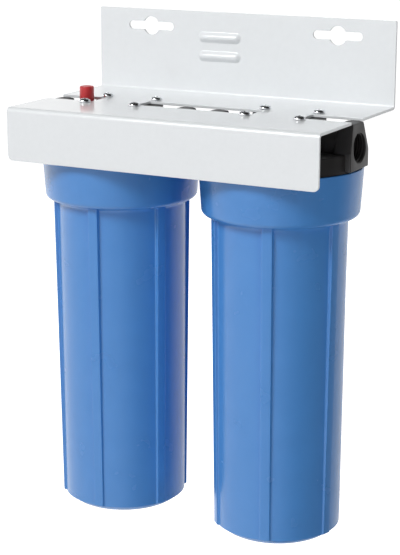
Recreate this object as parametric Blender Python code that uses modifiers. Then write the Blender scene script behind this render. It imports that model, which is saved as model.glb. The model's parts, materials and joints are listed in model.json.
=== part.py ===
# Two-stage water filter: two screw-on bowls hang from two heads under one sheet metal wall bracket.
# Metres. X runs along the wall, Y points into the wall, Z is up.
# The origin is on the wall, behind the bracket, midway between its two keyholes.

import math

import bmesh
import bpy
from mathutils import Matrix, Vector

# Fits and fineness shared by all pieces
GAP = 0.0003              # air between two pieces that touch
OVERRUN = 0.002           # how far a cutter runs past the face that it opens
MERGE = 0.00001
COARSE = 12
MEDIUM = 20
FINE = 32
BEND_STEPS = 4
ARC_STEPS = 3
BEAD_RINGS = 7
SEAL_SIDES = 6

# Bracket
SHEET = 0.002
BEND_RADIUS = 0.0025      # to the middle of the sheet
BACK_HEIGHT = 0.061       # shelf top to the back plate's upper edge
FLANGE_HEIGHT = 0.0385    # shelf top to the flange's lower edge
WALL_CLEARANCE = 0.010    # collar to wall
FRONT_CLEARANCE = 0.0033  # collar to the flange's inner face
FLANGE_CORNER = 0.004
PLATE_CORNER = 0.0012
KEYHOLE_SPACING = 0.154
KEYHOLE_DROP = 0.0126     # keyholes' centre line to the back plate's upper edge
KEYHOLE_DIAMETER = 0.0135
KEYSLOT_LENGTH = 0.0385
KEYSLOT_WIDTH = 0.006
BEAD_LENGTH = 0.036
BEAD_HEIGHT = 0.008
BEAD_PROUD = 0.0025
BEAD_WALL = 0.0012
BEAD_PITCH = 0.014
BEAD_OFFSET = 0.0183      # pressed beads, to the left of the middle
BEAD_DROP = 0.0064        # keyholes' centre line to the upper bead
BRIDGE = 0.038            # uncut shelf over the middle of each head
SLOT_MARGIN = 0.0018      # screw head to the edge of the shelf's slot

# Heads
RIM_STEP = 0.001          # rim inside the collar's outer face
RIM_HEIGHT = 0.0126
RIM_EDGE = 0.001
HUB_HEIGHT = 0.0197
HUB_WALL = 0.0047         # plastic outside the screw circle
HUB_NOTCH = 0.0045        # step in the hub's top on the inlet side
HUB_NOTCH_START = 0.0235
ROOF_RISE = 0.0026        # chamber roof above the rim's underside
SEAT_DROP = 0.008
SEAT_WIDTH = 0.0041
NOSE_LENGTH = 0.008       # centring nose past each cartridge seat
NOSE_CLEARANCE = 0.0006
CENTRE_BORE = 0.016
SKIRT_WALL = 0.0046
POCKET_WIDTH = 0.018
POCKET_START = 0.011
POCKET_END = 0.025
POCKET_DEPTH = 0.009

# Ports
PORT_REACH = 0.0009       # port face beyond the collar
PORT_GAP = 0.0122         # between the two facing ports
PORT_PROUD = 0.0019       # outer port faces beyond the bracket's ends
PORT_DEPTH = 0.0162       # head top to port axis
PORT_DIAMETER = 0.0204
PORT_THREAD = 0.016
PASSAGE_DIAMETER = 0.015
PASSAGE_STOP = 0.020      # inlet passage ends this far from the head's axis
INLET_DROP_OFFSET = 0.0245
INLET_DROP_DIAMETER = 0.010
TUBE_DIAMETER = 0.026
BLOCK_DEPTH = 0.0129
BLOCK_WIDTH = 0.0312
BLOCK_RISE = 0.0009       # into the shelf's slot
BLOCK_CLEARANCE = 0.0007  # block's top edge to the side of the slot
BLOCK_FOOT = 0.0011       # above the rim's underside
BLOCK_SHOULDER = 0.0124   # straight part of the block's sides

# Joining nipple
NIPPLE_HEX = 0.022
NIPPLE_BORE = 0.013
NIPPLE_ENTRY = 0.014

# Screws
SCREW_SPREAD_X = 0.0416
SCREW_SPREAD_Y = 0.0322
SCREW_HEAD = 0.0085
SCREW_HEAD_HEIGHT = 0.0026
SCREW_SHANK = 0.004
SCREW_LENGTH = 0.014
SCREW_POINT = 0.0015
RECESS_LENGTH = 0.0046
RECESS_WIDTH = 0.0011
RECESS_DEPTH = 0.0013

# Pressure release button
BUTTON_OFFSET = 0.029
BUTTON_DIAMETER = 0.0106
BUTTON_RISE = 0.0115      # above the head's top
BUTTON_ENTRY = 0.0017     # skirt below the head's top
BUTTON_WALL = 0.001
BUTTON_CROWN = 0.002
BUTTON_EDGE = 0.0006
BUTTON_CLEARANCE = 0.0006
STEM_DIAMETER = 0.004
STEM_END = 0.0012
BOSS_WALL = 0.0031
BOSS_STEP = 0.0005
COUNTERBORE = 0.006
WEB = 0.0029
BUTTON_SEAL_SECTION = 0.0018
CLIP_GROOVE = 0.0005
CLIP_THICKNESS = 0.0008
CLIP_WIDTH = 0.0022
SPRING_WIRE = 0.0009
SPRING_TURNS = 6
SPRING_POINTS = 9

# Bowls
COLLAR_WALL = 0.0046
COLLAR_DRAFT = 0.002
COLLAR_EDGE = 0.0006
COLLAR_FLOOR = 0.0007     # seal groove floor to the start of the collar's lower round
NECK_SHARE = 0.48         # of the collar's overhang, for each of the two rounds under it
BODY_STEP = 0.0107        # collar to body, at the top
BODY_DRAFT = 0.0014
BOWL_WALL = 0.0042
BASE_CORNER = 0.012
FOOT_HEIGHT = 0.0121      # cartridge seat above the bowl's floor
FOOT_FLARE = 0.0015
RIB_COUNT = 6
RIB_FACE = 0.007
RIB_BASE = 0.0086
RIB_PROUD = 0.0029
RIB_PROUD_END = 0.0016
RIB_ROOT = 0.002
RIB_END = 0.006           # above the bowl's lowest face
LEFT_RIB_ANGLE = 5.9      # degrees from the front towards the right
RIGHT_RIB_ANGLE = 15.0
SEAL_SECTION = 0.0034
SEAL_LIP = 0.0024
GROOVE_DEPTH = 0.0031

# Thread between head and bowl
PITCH = 0.006
THREAD_TURNS = 3
BOWL_TURNS_SHORT = 0.5    # the bowl's thread is this much shorter
THREAD_HEIGHT = 0.0024
THREAD_BASE = 0.0026
THREAD_CREST = 0.0016
THREAD_ROOT = 0.0006      # sunk into the wall
THREAD_CLEARANCE = 0.0008
THREAD_LEAD = 0.0025
THREAD_RUNOUT = 0.0059

# Cartridges, which set the bowls' and heads' width
CARTRIDGE_LENGTH = 0.248
CARTRIDGE_RADIUS = 0.03175
WATER_SPACE = 0.00995     # cartridge to the bowl's wall, at the bottom
CARTRIDGE_BORE = 0.027
CORE_WALL = 0.0025
WINDOW_WIDTH = 0.007
WINDOW_HEIGHT = 0.030
WINDOW_ROWS = 4
MEDIA_EDGE = 0.001
GASKET_WIDTH = 0.0075
GASKET_THICKNESS = 0.003
GASKET_PROUD = 0.0013
CAP_LIP = 0.0031
CAP_PLATE = 0.0024
CAP_SKIRT = 0.006
WRAP_THICKNESS = 0.0026

# Worked out places
BODY_END_RADIUS = CARTRIDGE_RADIUS + WATER_SPACE + BOWL_WALL
BODY_RADIUS = BODY_END_RADIUS + BODY_DRAFT
COLLAR_RADIUS = BODY_RADIUS + BODY_STEP
RIM_RADIUS = COLLAR_RADIUS - RIM_STEP
PORT_FACE = COLLAR_RADIUS + PORT_REACH
HEAD_X = PORT_FACE + PORT_GAP / 2
HEAD_Y = -(COLLAR_RADIUS + WALL_CLEARANCE)
FRONT_Y = HEAD_Y - COLLAR_RADIUS - FRONT_CLEARANCE - SHEET
BRACKET_HALF = HEAD_X + PORT_FACE - PORT_PROUD
SHELF_TOP = KEYHOLE_DROP - BACK_HEIGHT
HEAD_TOP = SHELF_TOP - SHEET - GAP
SLOT_HALF = SCREW_SPREAD_Y / 2 - SCREW_HEAD / 2 - SLOT_MARGIN

# Heights below are measured from the head's top
DECK = -HUB_HEIGHT
RIM = DECK - RIM_HEIGHT
ROOF = RIM + ROOF_RISE
HEAD_SEAT = ROOF - SEAT_DROP
SKIRT_END = RIM - THREAD_TURNS * PITCH - THREAD_LEAD - THREAD_RUNOUT
COLLAR_TOP = RIM - GAP
GROOVE_FLOOR = SKIRT_END - GAP - SEAL_SECTION - GAP
LEDGE = GROOVE_FLOOR + GROOVE_DEPTH
COLLAR_LOW = GROOVE_FLOOR - COLLAR_FLOOR
BOWL_SEAT = HEAD_SEAT - GAP - CARTRIDGE_LENGTH - GAP
BOWL_FLOOR = BOWL_SEAT - FOOT_HEIGHT
BOWL_BOTTOM = BOWL_FLOOR - BOWL_WALL
HELIX_START = SKIRT_END + THREAD_LEAD
WEB_LOW = -COUNTERBORE - WEB

# Radii about the head's axis
SEAT_BORE = CENTRE_BORE / 2
NOSE_RADIUS = CARTRIDGE_BORE / 2 - NOSE_CLEARANCE
SEAT_RADIUS = NOSE_RADIUS + SEAT_WIDTH
COLLAR_BORE = COLLAR_RADIUS - COLLAR_WALL
THREAD_RADIUS = COLLAR_BORE - THREAD_CLEARANCE
SKIRT_RADIUS = THREAD_RADIUS - THREAD_HEIGHT
SKIRT_BORE = SKIRT_RADIUS - SKIRT_WALL
BODY_BORE = BODY_RADIUS - BOWL_WALL
SEAL_RADIUS = BODY_BORE + SEAL_LIP + GAP + SEAL_SECTION / 2
HUB_RADIUS = math.hypot(SCREW_SPREAD_X / 2, SCREW_SPREAD_Y / 2) + HUB_WALL
NIPPLE_RADIUS = PORT_DIAMETER / 2 - GAP

SCREW_CORNERS = [(-1, -1), (1, -1), (-1, 1), (1, 1)]
SIDES = (("left", -1, LEFT_RIB_ANGLE), ("right", 1, RIGHT_RIB_ANGLE))


# Scene helpers

def clear_scene():
    for obj in list(bpy.data.objects):
        bpy.data.objects.remove(obj, do_unlink=True)


def new_collection(name):
    group = bpy.data.collections.new(name)
    bpy.context.scene.collection.children.link(group)
    return group


def new_material(name, colour, roughness, metallic):
    material = bpy.data.materials.new(name)
    material.use_nodes = True
    shader = material.node_tree.nodes["Principled BSDF"]
    shader.inputs["Base Color"].default_value = (*colour, 1)
    shader.inputs["Roughness"].default_value = roughness
    shader.inputs["Metallic"].default_value = metallic
    material.diffuse_color = (*colour, 1)
    return material


def add_object(name, mesh, material=None, parent=None):
    # without a material the object is a cutter or an added shape, and stays out of the model
    obj = bpy.data.objects.new(name, mesh)
    if material:
        parts.objects.link(obj)
        mesh.materials.append(material)
    else:
        tools.objects.link(obj)
        obj.hide_render = True
        obj.display_type = "WIRE"
    obj.parent = parent
    return obj


def finish_mesh(name, bm):
    bmesh.ops.recalc_face_normals(bm, faces=bm.faces)
    mesh = bpy.data.meshes.new(name)
    bm.to_mesh(mesh)
    bm.free()
    return mesh


def made_mesh(obj):
    # the object's shape with its modifiers, as a mesh of its own
    bpy.context.view_layer.update()
    graph = bpy.context.evaluated_depsgraph_get()
    mesh = bpy.data.meshes.new_from_object(obj.evaluated_get(graph))
    bpy.data.objects.remove(obj, do_unlink=True)
    return mesh


def change(obj, operation, *shapes):
    for shape in shapes:
        step = obj.modifiers.new(shape.name, "BOOLEAN")
        step.operation = operation
        step.solver = "EXACT"
        step.object = shape


def join(obj, *shapes):
    change(obj, "UNION", *shapes)


def cut(obj, *shapes):
    change(obj, "DIFFERENCE", *shapes)


def smooth(obj):
    obj.data.shade_smooth()
    obj.data.set_sharp_from_angle(angle=math.radians(35))


# Basic shapes

def turned(name, outline, steps, material=None, parent=None, ring=False):
    # outline holds (radius, height) pairs, outer side from top to bottom; a ring closes on itself
    count = len(outline)
    edges = [(i, (i + 1) % count) for i in range(count if ring else count - 1)]
    mesh = bpy.data.meshes.new(name)
    mesh.from_pydata([(radius, 0, height) for radius, height in outline], edges, [])
    obj = add_object(name, mesh, material, parent)
    spin = obj.modifiers.new("Spin", "SCREW")
    spin.axis = "Z"
    spin.steps = steps
    spin.render_steps = steps
    spin.use_smooth_shade = True
    spin.use_merge_vertices = True
    spin.merge_threshold = MERGE
    return obj


def tube_outline(inner, outer, top, bottom):
    return [(outer, top), (outer, bottom), (inner, bottom), (inner, top)]


def circle_outline(radius, height, section, count):
    # clockwise from the top, so that the outer side runs down
    turns = [math.pi / 2 - math.tau * i / count for i in range(count)]
    half = section / 2
    return [(radius + half * math.cos(turn), height + half * math.sin(turn)) for turn in turns]


def arc(centre_radius, centre_height, radius, start, end):
    # points of a round stretch, angles in degrees
    points = []
    for i in range(ARC_STEPS + 1):
        angle = math.radians(start + (end - start) * i / ARC_STEPS)
        points.append((centre_radius + radius * math.cos(angle), centre_height + radius * math.sin(angle)))
    return points


def rods(name, radius, spans, steps, material=None, parent=None):
    # plain cylinders, each between two points
    bm = bmesh.new()
    for start, end in spans:
        line = Vector(end) - Vector(start)
        middle = (Vector(start) + Vector(end)) / 2
        place = Matrix.Translation(middle) @ line.to_track_quat("Z", "Y").to_matrix().to_4x4()
        bmesh.ops.create_cone(bm, cap_ends=True, segments=steps, radius1=radius, radius2=radius,
                              depth=line.length, matrix=place)
    return add_object(name, finish_mesh(name, bm), material, parent)


def blocks(name, corners, parent=None):
    # boxes, each from its lowest to its highest corner
    bm = bmesh.new()
    for low, high in corners:
        for vert in bmesh.ops.create_cube(bm, size=1)["verts"]:
            vert.co = [high[i] if vert.co[i] > 0 else low[i] for i in range(3)]
    return add_object(name, finish_mesh(name, bm), None, parent)


def prism(name, outline, place, depth, parent=None):
    # a flat outline pushed out along its own Z, then set in place
    bm = bmesh.new()
    face = bm.faces.new([bm.verts.new((x, y, 0)) for x, y in outline])
    made = bmesh.ops.extrude_face_region(bm, geom=[face])
    top = [item for item in made["geom"] if isinstance(item, bmesh.types.BMVert)]
    bmesh.ops.translate(bm, verts=top, vec=(0, 0, depth))
    bmesh.ops.transform(bm, matrix=place, verts=bm.verts)
    return add_object(name, finish_mesh(name, bm), None, parent)


def helix_ridge(name, wall, crest, start, turns, parent):
    # a thread ridge with sloped flanks; wall and crest are radii, and either may be the larger
    sink = THREAD_ROOT if crest > wall else -THREAD_ROOT
    points = [(wall - sink, THREAD_BASE / 2), (crest, THREAD_CREST / 2),
              (crest, -THREAD_CREST / 2), (wall - sink, -THREAD_BASE / 2)]
    mesh = bpy.data.meshes.new(name)
    mesh.from_pydata([(radius, 0, start + height) for radius, height in points],
                     [(0, 1), (1, 2), (2, 3), (3, 0)], [])
    ridge = add_object(name, mesh)
    wind = ridge.modifiers.new("Wind", "SCREW")
    wind.axis = "Z"
    wind.angle = math.tau * turns
    wind.screw_offset = PITCH * turns
    wind.steps = round(FINE * turns)
    wind.render_steps = wind.steps
    bm = bmesh.new()
    bm.from_mesh(made_mesh(ridge))
    bmesh.ops.holes_fill(bm, edges=[edge for edge in bm.edges if edge.is_boundary])
    return add_object(name, finish_mesh(name, bm), None, parent)


# Bracket

def sheet_path():
    # middle of the sheet from the back plate's top to the flange's lower edge, as (y, z)
    back = -SHEET / 2
    shelf = SHELF_TOP - SHEET / 2
    front = FRONT_Y + SHEET / 2
    path = [(back, KEYHOLE_DROP)]
    for i in range(BEND_STEPS + 1):
        angle = math.radians(-90 * i / BEND_STEPS)
        path.append((back - BEND_RADIUS + BEND_RADIUS * math.cos(angle),
                     shelf + BEND_RADIUS + BEND_RADIUS * math.sin(angle)))
    for i in range(BEND_STEPS + 1):
        angle = math.radians(90 + 90 * i / BEND_STEPS)
        path.append((front + BEND_RADIUS + BEND_RADIUS * math.cos(angle),
                     shelf - BEND_RADIUS + BEND_RADIUS * math.sin(angle)))
    path.append((front, SHELF_TOP - FLANGE_HEIGHT))
    return path


def folded_sheet(name, material):
    bm = bmesh.new()
    left = [bm.verts.new((-BRACKET_HALF, y, z)) for y, z in sheet_path()]
    line = [bm.edges.new(pair) for pair in zip(left, left[1:])]
    swept = bmesh.ops.extrude_edge_only(bm, edges=line)
    right = [item for item in swept["geom"] if isinstance(item, bmesh.types.BMVert)]
    bmesh.ops.translate(bm, verts=right, vec=(2 * BRACKET_HALF, 0, 0))
    low = min(vert.co.z for vert in bm.verts)
    top = max(vert.co.z for vert in bm.verts)
    for height, radius in ((low, FLANGE_CORNER), (top, PLATE_CORNER)):
        corners = [vert for vert in bm.verts if abs(vert.co.z - height) < MERGE]
        bmesh.ops.bevel(bm, geom=corners, offset=radius, segments=BEND_STEPS, profile=0.5, affect="VERTICES")
    obj = add_object(name, finish_mesh(name, bm), material)
    wall = obj.modifiers.new("Sheet", "SOLIDIFY")
    wall.thickness = SHEET
    wall.offset = 0
    wall.use_even_offset = True
    return obj


def stretch(bm, amount):
    # moves the two halves of a shape apart along X
    for vert in bm.verts:
        if abs(vert.co.x) > MERGE:
            vert.co.x += math.copysign(amount / 2, vert.co.x)


def keyslots():
    # half a step of turn keeps every corner off the middle, so that the long sides are straight
    half = KEYSLOT_WIDTH / 2
    place = Matrix.Rotation(math.pi / 2, 4, "X") @ Matrix.Rotation(math.pi / COARSE, 4, "Z")
    bm = bmesh.new()
    bmesh.ops.create_cone(bm, cap_ends=True, segments=COARSE, radius1=half, radius2=half,
                          depth=2 * (SHEET + OVERRUN), matrix=place)
    stretch(bm, KEYSLOT_LENGTH - KEYSLOT_WIDTH)
    shape = finish_mesh("keyslot", bm)
    slots = []
    for word, side, _ in SIDES:
        slot = add_object(word + "_keyslot", shape)
        slot.location.x = side * KEYHOLE_SPACING / 2
        slots.append(slot)
    return slots


def bead_shapes(name, height, depth, length, face, back):
    # round-ended pressings, one above the other, centred on the face at this y and flat at the back
    # their poles lie along X, and an odd count of rings leaves none in the middle
    place = Matrix.Diagonal((height / 2, depth, height / 2, 1)) @ Matrix.Rotation(math.pi / 2, 4, "Y")
    shapes = []
    for index in range(2):
        bm = bmesh.new()
        bmesh.ops.create_uvsphere(bm, u_segments=COARSE, v_segments=BEAD_RINGS, radius=1, matrix=place)
        stretch(bm, length - height)
        for vert in bm.verts:
            vert.co.y = min(vert.co.y, back - face)
        shape = add_object(f"{name}_{index}", finish_mesh(name, bm))
        shape.location = (-BEAD_OFFSET, face, -BEAD_DROP - index * BEAD_PITCH)
        shapes.append(shape)
    return shapes


def shelf_slots():
    # a slot between the heads and an open one at each end, all clear of the screws
    low = SHELF_TOP - SHEET - OVERRUN
    high = SHELF_TOP + OVERRUN
    end = BRACKET_HALF + OVERRUN
    inner = HEAD_X - BRIDGE / 2
    outer = HEAD_X + BRIDGE / 2
    corners = []
    for start, stop in ((-inner, inner), (-end, -outer), (outer, end)):
        corners.append(((start, HEAD_Y - SLOT_HALF, low), (stop, HEAD_Y + SLOT_HALF, high)))
    return blocks("shelf_slots", corners)


def screw_places(side):
    # the four screw axes over one head
    middle = side * HEAD_X
    return [(middle + x * SCREW_SPREAD_X / 2, HEAD_Y + y * SCREW_SPREAD_Y / 2) for x, y in SCREW_CORNERS]


def make_bracket(material):
    bracket = folded_sheet("wall_bracket", material)
    deep = SHEET + OVERRUN
    apart = KEYHOLE_SPACING / 2
    holes = [((side * apart, -deep, 0), (side * apart, deep, 0)) for _, side, _ in SIDES]
    rounds = rods("keyholes", KEYHOLE_DIAMETER / 2, holes, MEDIUM)
    places = screw_places(-1) + screw_places(1)
    drills = [((x, y, SHELF_TOP - deep), (x, y, SHELF_TOP + OVERRUN)) for x, y in places]
    screw_holes = rods("screw_holes", SCREW_SHANK / 2 + GAP, drills, COARSE)
    middle = -SHEET / 2
    join(bracket, *bead_shapes("bead", BEAD_HEIGHT, BEAD_PROUD - middle, BEAD_LENGTH, middle, middle))
    height = BEAD_HEIGHT - 2 * BEAD_WALL
    length = BEAD_LENGTH - 2 * BEAD_WALL
    cut(bracket, *bead_shapes("bead_back", height, BEAD_PROUD, length, 0, OVERRUN))
    cut(bracket, rounds, *keyslots(), screw_holes, shelf_slots())


# Heads

def head_outline():
    return [(0, 0), (HUB_RADIUS, 0), (HUB_RADIUS, DECK), (RIM_RADIUS - RIM_EDGE, DECK),
            (RIM_RADIUS, DECK - RIM_EDGE), (RIM_RADIUS, RIM), (SKIRT_RADIUS, RIM), (SKIRT_RADIUS, SKIRT_END),
            (SKIRT_BORE, SKIRT_END), (SKIRT_BORE, ROOF), (SEAT_RADIUS, ROOF), (SEAT_RADIUS, HEAD_SEAT),
            (NOSE_RADIUS, HEAD_SEAT), (NOSE_RADIUS, HEAD_SEAT - NOSE_LENGTH), (0, HEAD_SEAT - NOSE_LENGTH)]


def port_block(name, side, parent):
    # a flat-faced block whose sides lean in above its shoulders
    foot = RIM + BLOCK_FOOT
    half = BLOCK_WIDTH / 2
    top_half = SLOT_HALF - BLOCK_CLEARANCE
    outline = [(-half, foot), (half, foot), (half, foot + BLOCK_SHOULDER), (top_half, BLOCK_RISE),
               (-top_half, BLOCK_RISE), (-half, foot + BLOCK_SHOULDER)]
    upright = Matrix.Rotation(math.pi / 2, 4, "Z") @ Matrix.Rotation(math.pi / 2, 4, "X")
    inner = PORT_FACE - BLOCK_DEPTH if side > 0 else -PORT_FACE
    return prism(name, outline, Matrix.Translation((inner, 0, 0)) @ upright, BLOCK_DEPTH, parent)


def water_ways(word, axis):
    # inlet from -X into the outer chamber; outlet from the centre bore to +X
    bore_end = PORT_FACE - PORT_THREAD
    face = PORT_FACE + OVERRUN
    level = -PORT_DEPTH
    ports = [((-face, 0, level), (-bore_end, 0, level)), ((bore_end, 0, level), (face, 0, level))]
    inner = [((-bore_end - OVERRUN, 0, level), (-PASSAGE_STOP, 0, level)),
             ((0, 0, level), (bore_end + OVERRUN, 0, level))]
    drop = ((-INLET_DROP_OFFSET, 0, ROOF - OVERRUN), (-INLET_DROP_OFFSET, 0, level))
    rise = ((0, 0, HEAD_SEAT - NOSE_LENGTH - OVERRUN), (0, 0, level))
    return [rods(word + "_ports", PORT_DIAMETER / 2, ports, MEDIUM, None, axis),
            rods(word + "_passages", PASSAGE_DIAMETER / 2, inner, MEDIUM, None, axis),
            rods(word + "_inlet_drop", INLET_DROP_DIAMETER / 2, [drop], COARSE, None, axis),
            rods(word + "_centre_bore", SEAT_BORE, [rise], MEDIUM, None, axis)]


def hub_cuts(word, axis):
    screws = [((x * SCREW_SPREAD_X / 2, y * SCREW_SPREAD_Y / 2, SHEET - SCREW_LENGTH - OVERRUN),
               (x * SCREW_SPREAD_X / 2, y * SCREW_SPREAD_Y / 2, OVERRUN)) for x, y in SCREW_CORNERS]
    half = POCKET_WIDTH / 2
    pockets = [((-half, POCKET_START, -POCKET_DEPTH), (half, POCKET_END, OVERRUN)),
               ((-half, -POCKET_END, -POCKET_DEPTH), (half, -POCKET_START, OVERRUN))]
    return [rods(word + "_screw_bores", SCREW_SHANK / 2 + GAP, screws, COARSE, None, axis),
            blocks(word + "_pockets", pockets, axis)]


def inlet_step(word, axis):
    # the hub's top steps down between the two screws on the inlet side
    half = SCREW_SPREAD_Y / 2 - SCREW_HEAD / 2
    low = (-HUB_RADIUS - OVERRUN, -half, -HUB_NOTCH)
    high = (-HUB_NOTCH_START, half, OVERRUN)
    return blocks(word + "_inlet_step", [(low, high)], axis)


def make_head(name, word, axis, material):
    head = turned(name, head_outline(), FINE, material, axis)
    # half a step of turn keeps the head's edges off the corners of the bores and of the thread
    head.data.transform(Matrix.Rotation(math.pi / FINE, 4, "Z"))
    reach = PORT_FACE - BLOCK_DEPTH / 2
    span = ((-reach, 0, -PORT_DEPTH), (reach, 0, -PORT_DEPTH))
    tube = rods(word + "_tube", TUBE_DIAMETER / 2, [span], MEDIUM, None, axis)
    inlet = port_block(word + "_inlet_block", -1, axis)
    outlet = port_block(word + "_outlet_block", 1, axis)
    ridge = helix_ridge(word + "_head_thread", SKIRT_RADIUS, THREAD_RADIUS, HELIX_START, THREAD_TURNS, axis)
    join(head, tube, inlet, outlet, ridge)
    cut(head, inlet_step(word, axis))
    return head


# Pressure release button

def button_bores(axis):
    x = -BUTTON_OFFSET
    well = BUTTON_DIAMETER / 2 + BUTTON_CLEARANCE
    valve = STEM_DIAMETER / 2 + GAP + BUTTON_SEAL_SECTION + GAP
    stem = STEM_DIAMETER / 2 + GAP
    return [rods("button_well", well, [((x, 0, -COUNTERBORE), (x, 0, OVERRUN))], MEDIUM, None, axis),
            rods("button_valve", valve, [((x, 0, -PORT_DEPTH), (x, 0, WEB_LOW))], MEDIUM, None, axis),
            rods("button_stem_bore", stem, [((x, 0, -PORT_DEPTH), (x, 0, OVERRUN))], COARSE, None, axis)]


def button_boss(axis):
    radius = BUTTON_DIAMETER / 2 + BUTTON_CLEARANCE + BOSS_WALL
    x = -BUTTON_OFFSET
    return rods("button_boss", radius, [((x, 0, DECK - OVERRUN), (x, 0, -BOSS_STEP))], MEDIUM, None, axis)


def make_button(axis, red, rubber, steel):
    outer = BUTTON_DIAMETER / 2
    inner = outer - BUTTON_WALL
    stem = STEM_DIAMETER / 2
    crown = BUTTON_RISE - BUTTON_CROWN
    clip_top = WEB_LOW - GAP - BUTTON_SEAL_SECTION - GAP
    clip_low = clip_top - CLIP_THICKNESS
    neck = stem - CLIP_GROOVE
    outline = [(0, BUTTON_RISE), (outer - BUTTON_EDGE, BUTTON_RISE), (outer, BUTTON_RISE - BUTTON_EDGE),
               (outer, -BUTTON_ENTRY), (inner, -BUTTON_ENTRY), (inner, crown), (stem, crown),
               (stem, clip_top + GAP), (neck, clip_top + GAP), (neck, clip_low - GAP), (stem, clip_low - GAP),
               (stem, clip_low - GAP - STEM_END), (0, clip_low - GAP - STEM_END)]
    button = turned("release_button", outline, MEDIUM, red, axis)
    seal_radius = stem + GAP + BUTTON_SEAL_SECTION / 2
    seal_height = WEB_LOW - GAP - BUTTON_SEAL_SECTION / 2
    section = circle_outline(seal_radius, seal_height, BUTTON_SEAL_SECTION, SEAL_SIDES)
    seal = turned("button_seal", section, COARSE, rubber, axis, ring=True)
    clip = turned("button_clip", tube_outline(neck + GAP, neck + GAP + CLIP_WIDTH, clip_top, clip_low),
                  COARSE, steel, axis, ring=True)
    for obj in (button, seal, clip):
        obj.location.x = -BUTTON_OFFSET
    make_spring(axis, (stem + inner) / 2, -COUNTERBORE, crown, steel)


def make_spring(axis, radius, low, high, steel):
    # coil between the well's floor and the underside of the button's crown
    start = low + GAP + SPRING_WIRE / 2
    length = high - GAP - SPRING_WIRE / 2 - start
    curve = bpy.data.curves.new("button_spring", "CURVE")
    curve.dimensions = "3D"
    curve.bevel_depth = SPRING_WIRE / 2
    curve.bevel_resolution = 1
    curve.use_fill_caps = True
    line = curve.splines.new("POLY")
    count = SPRING_TURNS * SPRING_POINTS
    line.points.add(count)
    for i in range(count + 1):
        turn = math.tau * i / SPRING_POINTS
        line.points[i].co = (radius * math.cos(turn), radius * math.sin(turn), start + length * i / count, 1)
    wire = bpy.data.objects.new("spring_wire", curve)
    tools.objects.link(wire)
    bm = bmesh.new()
    bm.from_mesh(made_mesh(wire))
    bmesh.ops.remove_doubles(bm, verts=bm.verts, dist=MERGE)
    spring = add_object("button_spring", finish_mesh("button_spring", bm), steel, axis)
    spring.location.x = -BUTTON_OFFSET


# Joining nipple and screws

def make_nipple(material):
    half = PORT_GAP / 2 + NIPPLE_ENTRY
    flange = PORT_GAP / 2 - GAP
    level = HEAD_TOP - PORT_DEPTH
    spans = [((-reach, HEAD_Y, level), (reach, HEAD_Y, level)) for reach in (half, flange, half + OVERRUN)]
    tube = rods("joining_nipple", NIPPLE_RADIUS, spans[:1], MEDIUM, material)
    corner = NIPPLE_HEX / 2 / math.cos(math.pi / 6)
    join(tube, rods("nipple_hex", corner, spans[1:2], 6))
    cut(tube, rods("nipple_bore", NIPPLE_BORE / 2, spans[2:], COARSE))


def screw_mesh(material):
    radius = SCREW_HEAD / 2
    shank = SCREW_SHANK / 2
    dome_shares = [(0, 1), (0.55, 0.93), (0.86, 0.62), (1, 0.15)]
    outline = [(radius * across, SCREW_HEAD_HEIGHT * up) for across, up in dome_shares]
    outline += [(radius, 0), (shank, 0), (shank, SCREW_POINT - SCREW_LENGTH), (0, -SCREW_LENGTH)]
    screw = turned("screw_pattern", outline, COARSE, material)
    arm = RECESS_LENGTH / 2
    half = RECESS_WIDTH / 2
    cross = []
    for quarter in range(4):
        turn = Matrix.Rotation(quarter * math.pi / 2, 2)
        cross += [turn @ Vector(point) for point in ((half, half), (half, arm), (-half, arm))]
    low = Matrix.Translation((0, 0, SCREW_HEAD_HEIGHT - RECESS_DEPTH))
    cut(screw, prism("screw_recess", cross, low, RECESS_DEPTH + OVERRUN))
    return made_mesh(screw)


def make_screws(material):
    mesh = screw_mesh(material)
    for word, side, _ in SIDES:
        for index, (x, y) in enumerate(screw_places(side)):
            screw = bpy.data.objects.new(f"{word}_screw_{index + 1}", mesh)
            parts.objects.link(screw)
            screw.location = (x, y, SHELF_TOP + GAP)


# Bowls

def bowl_outline():
    # from the floor's middle up the inside, over the collar and down the outside
    low_radius = COLLAR_RADIUS - COLLAR_DRAFT
    neck = NECK_SHARE * (low_radius - BODY_RADIUS)
    corner = BODY_END_RADIUS - BASE_CORNER
    corner_height = BOWL_BOTTOM + BASE_CORNER
    nose = BOWL_SEAT + NOSE_LENGTH
    groove = SEAL_SECTION / 2 + GAP
    inside = [(0, BOWL_FLOOR), (SEAT_BORE, BOWL_FLOOR), (SEAT_BORE, nose), (NOSE_RADIUS, nose),
              (NOSE_RADIUS, BOWL_SEAT), (SEAT_RADIUS, BOWL_SEAT), (SEAT_RADIUS + FOOT_FLARE, BOWL_FLOOR)]
    inside += arc(corner, corner_height, BASE_CORNER - BOWL_WALL, -90, 0)
    inside += [(BODY_BORE, LEDGE), (SEAL_RADIUS - groove, LEDGE), (SEAL_RADIUS - groove, GROOVE_FLOOR),
               (SEAL_RADIUS + groove, GROOVE_FLOOR), (SEAL_RADIUS + groove, LEDGE), (COLLAR_BORE, LEDGE),
               (COLLAR_BORE, COLLAR_TOP)]
    outside = [(COLLAR_RADIUS - COLLAR_EDGE, COLLAR_TOP), (COLLAR_RADIUS, COLLAR_TOP - COLLAR_EDGE)]
    outside += arc(low_radius - neck, COLLAR_LOW, neck, 0, -90)
    outside += arc(BODY_RADIUS + neck, COLLAR_LOW - 2 * neck, neck, 90, 180)
    outside += arc(corner, corner_height, BASE_CORNER, 0, -90)
    return inside + outside + [(0, BOWL_BOTTOM)]


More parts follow.
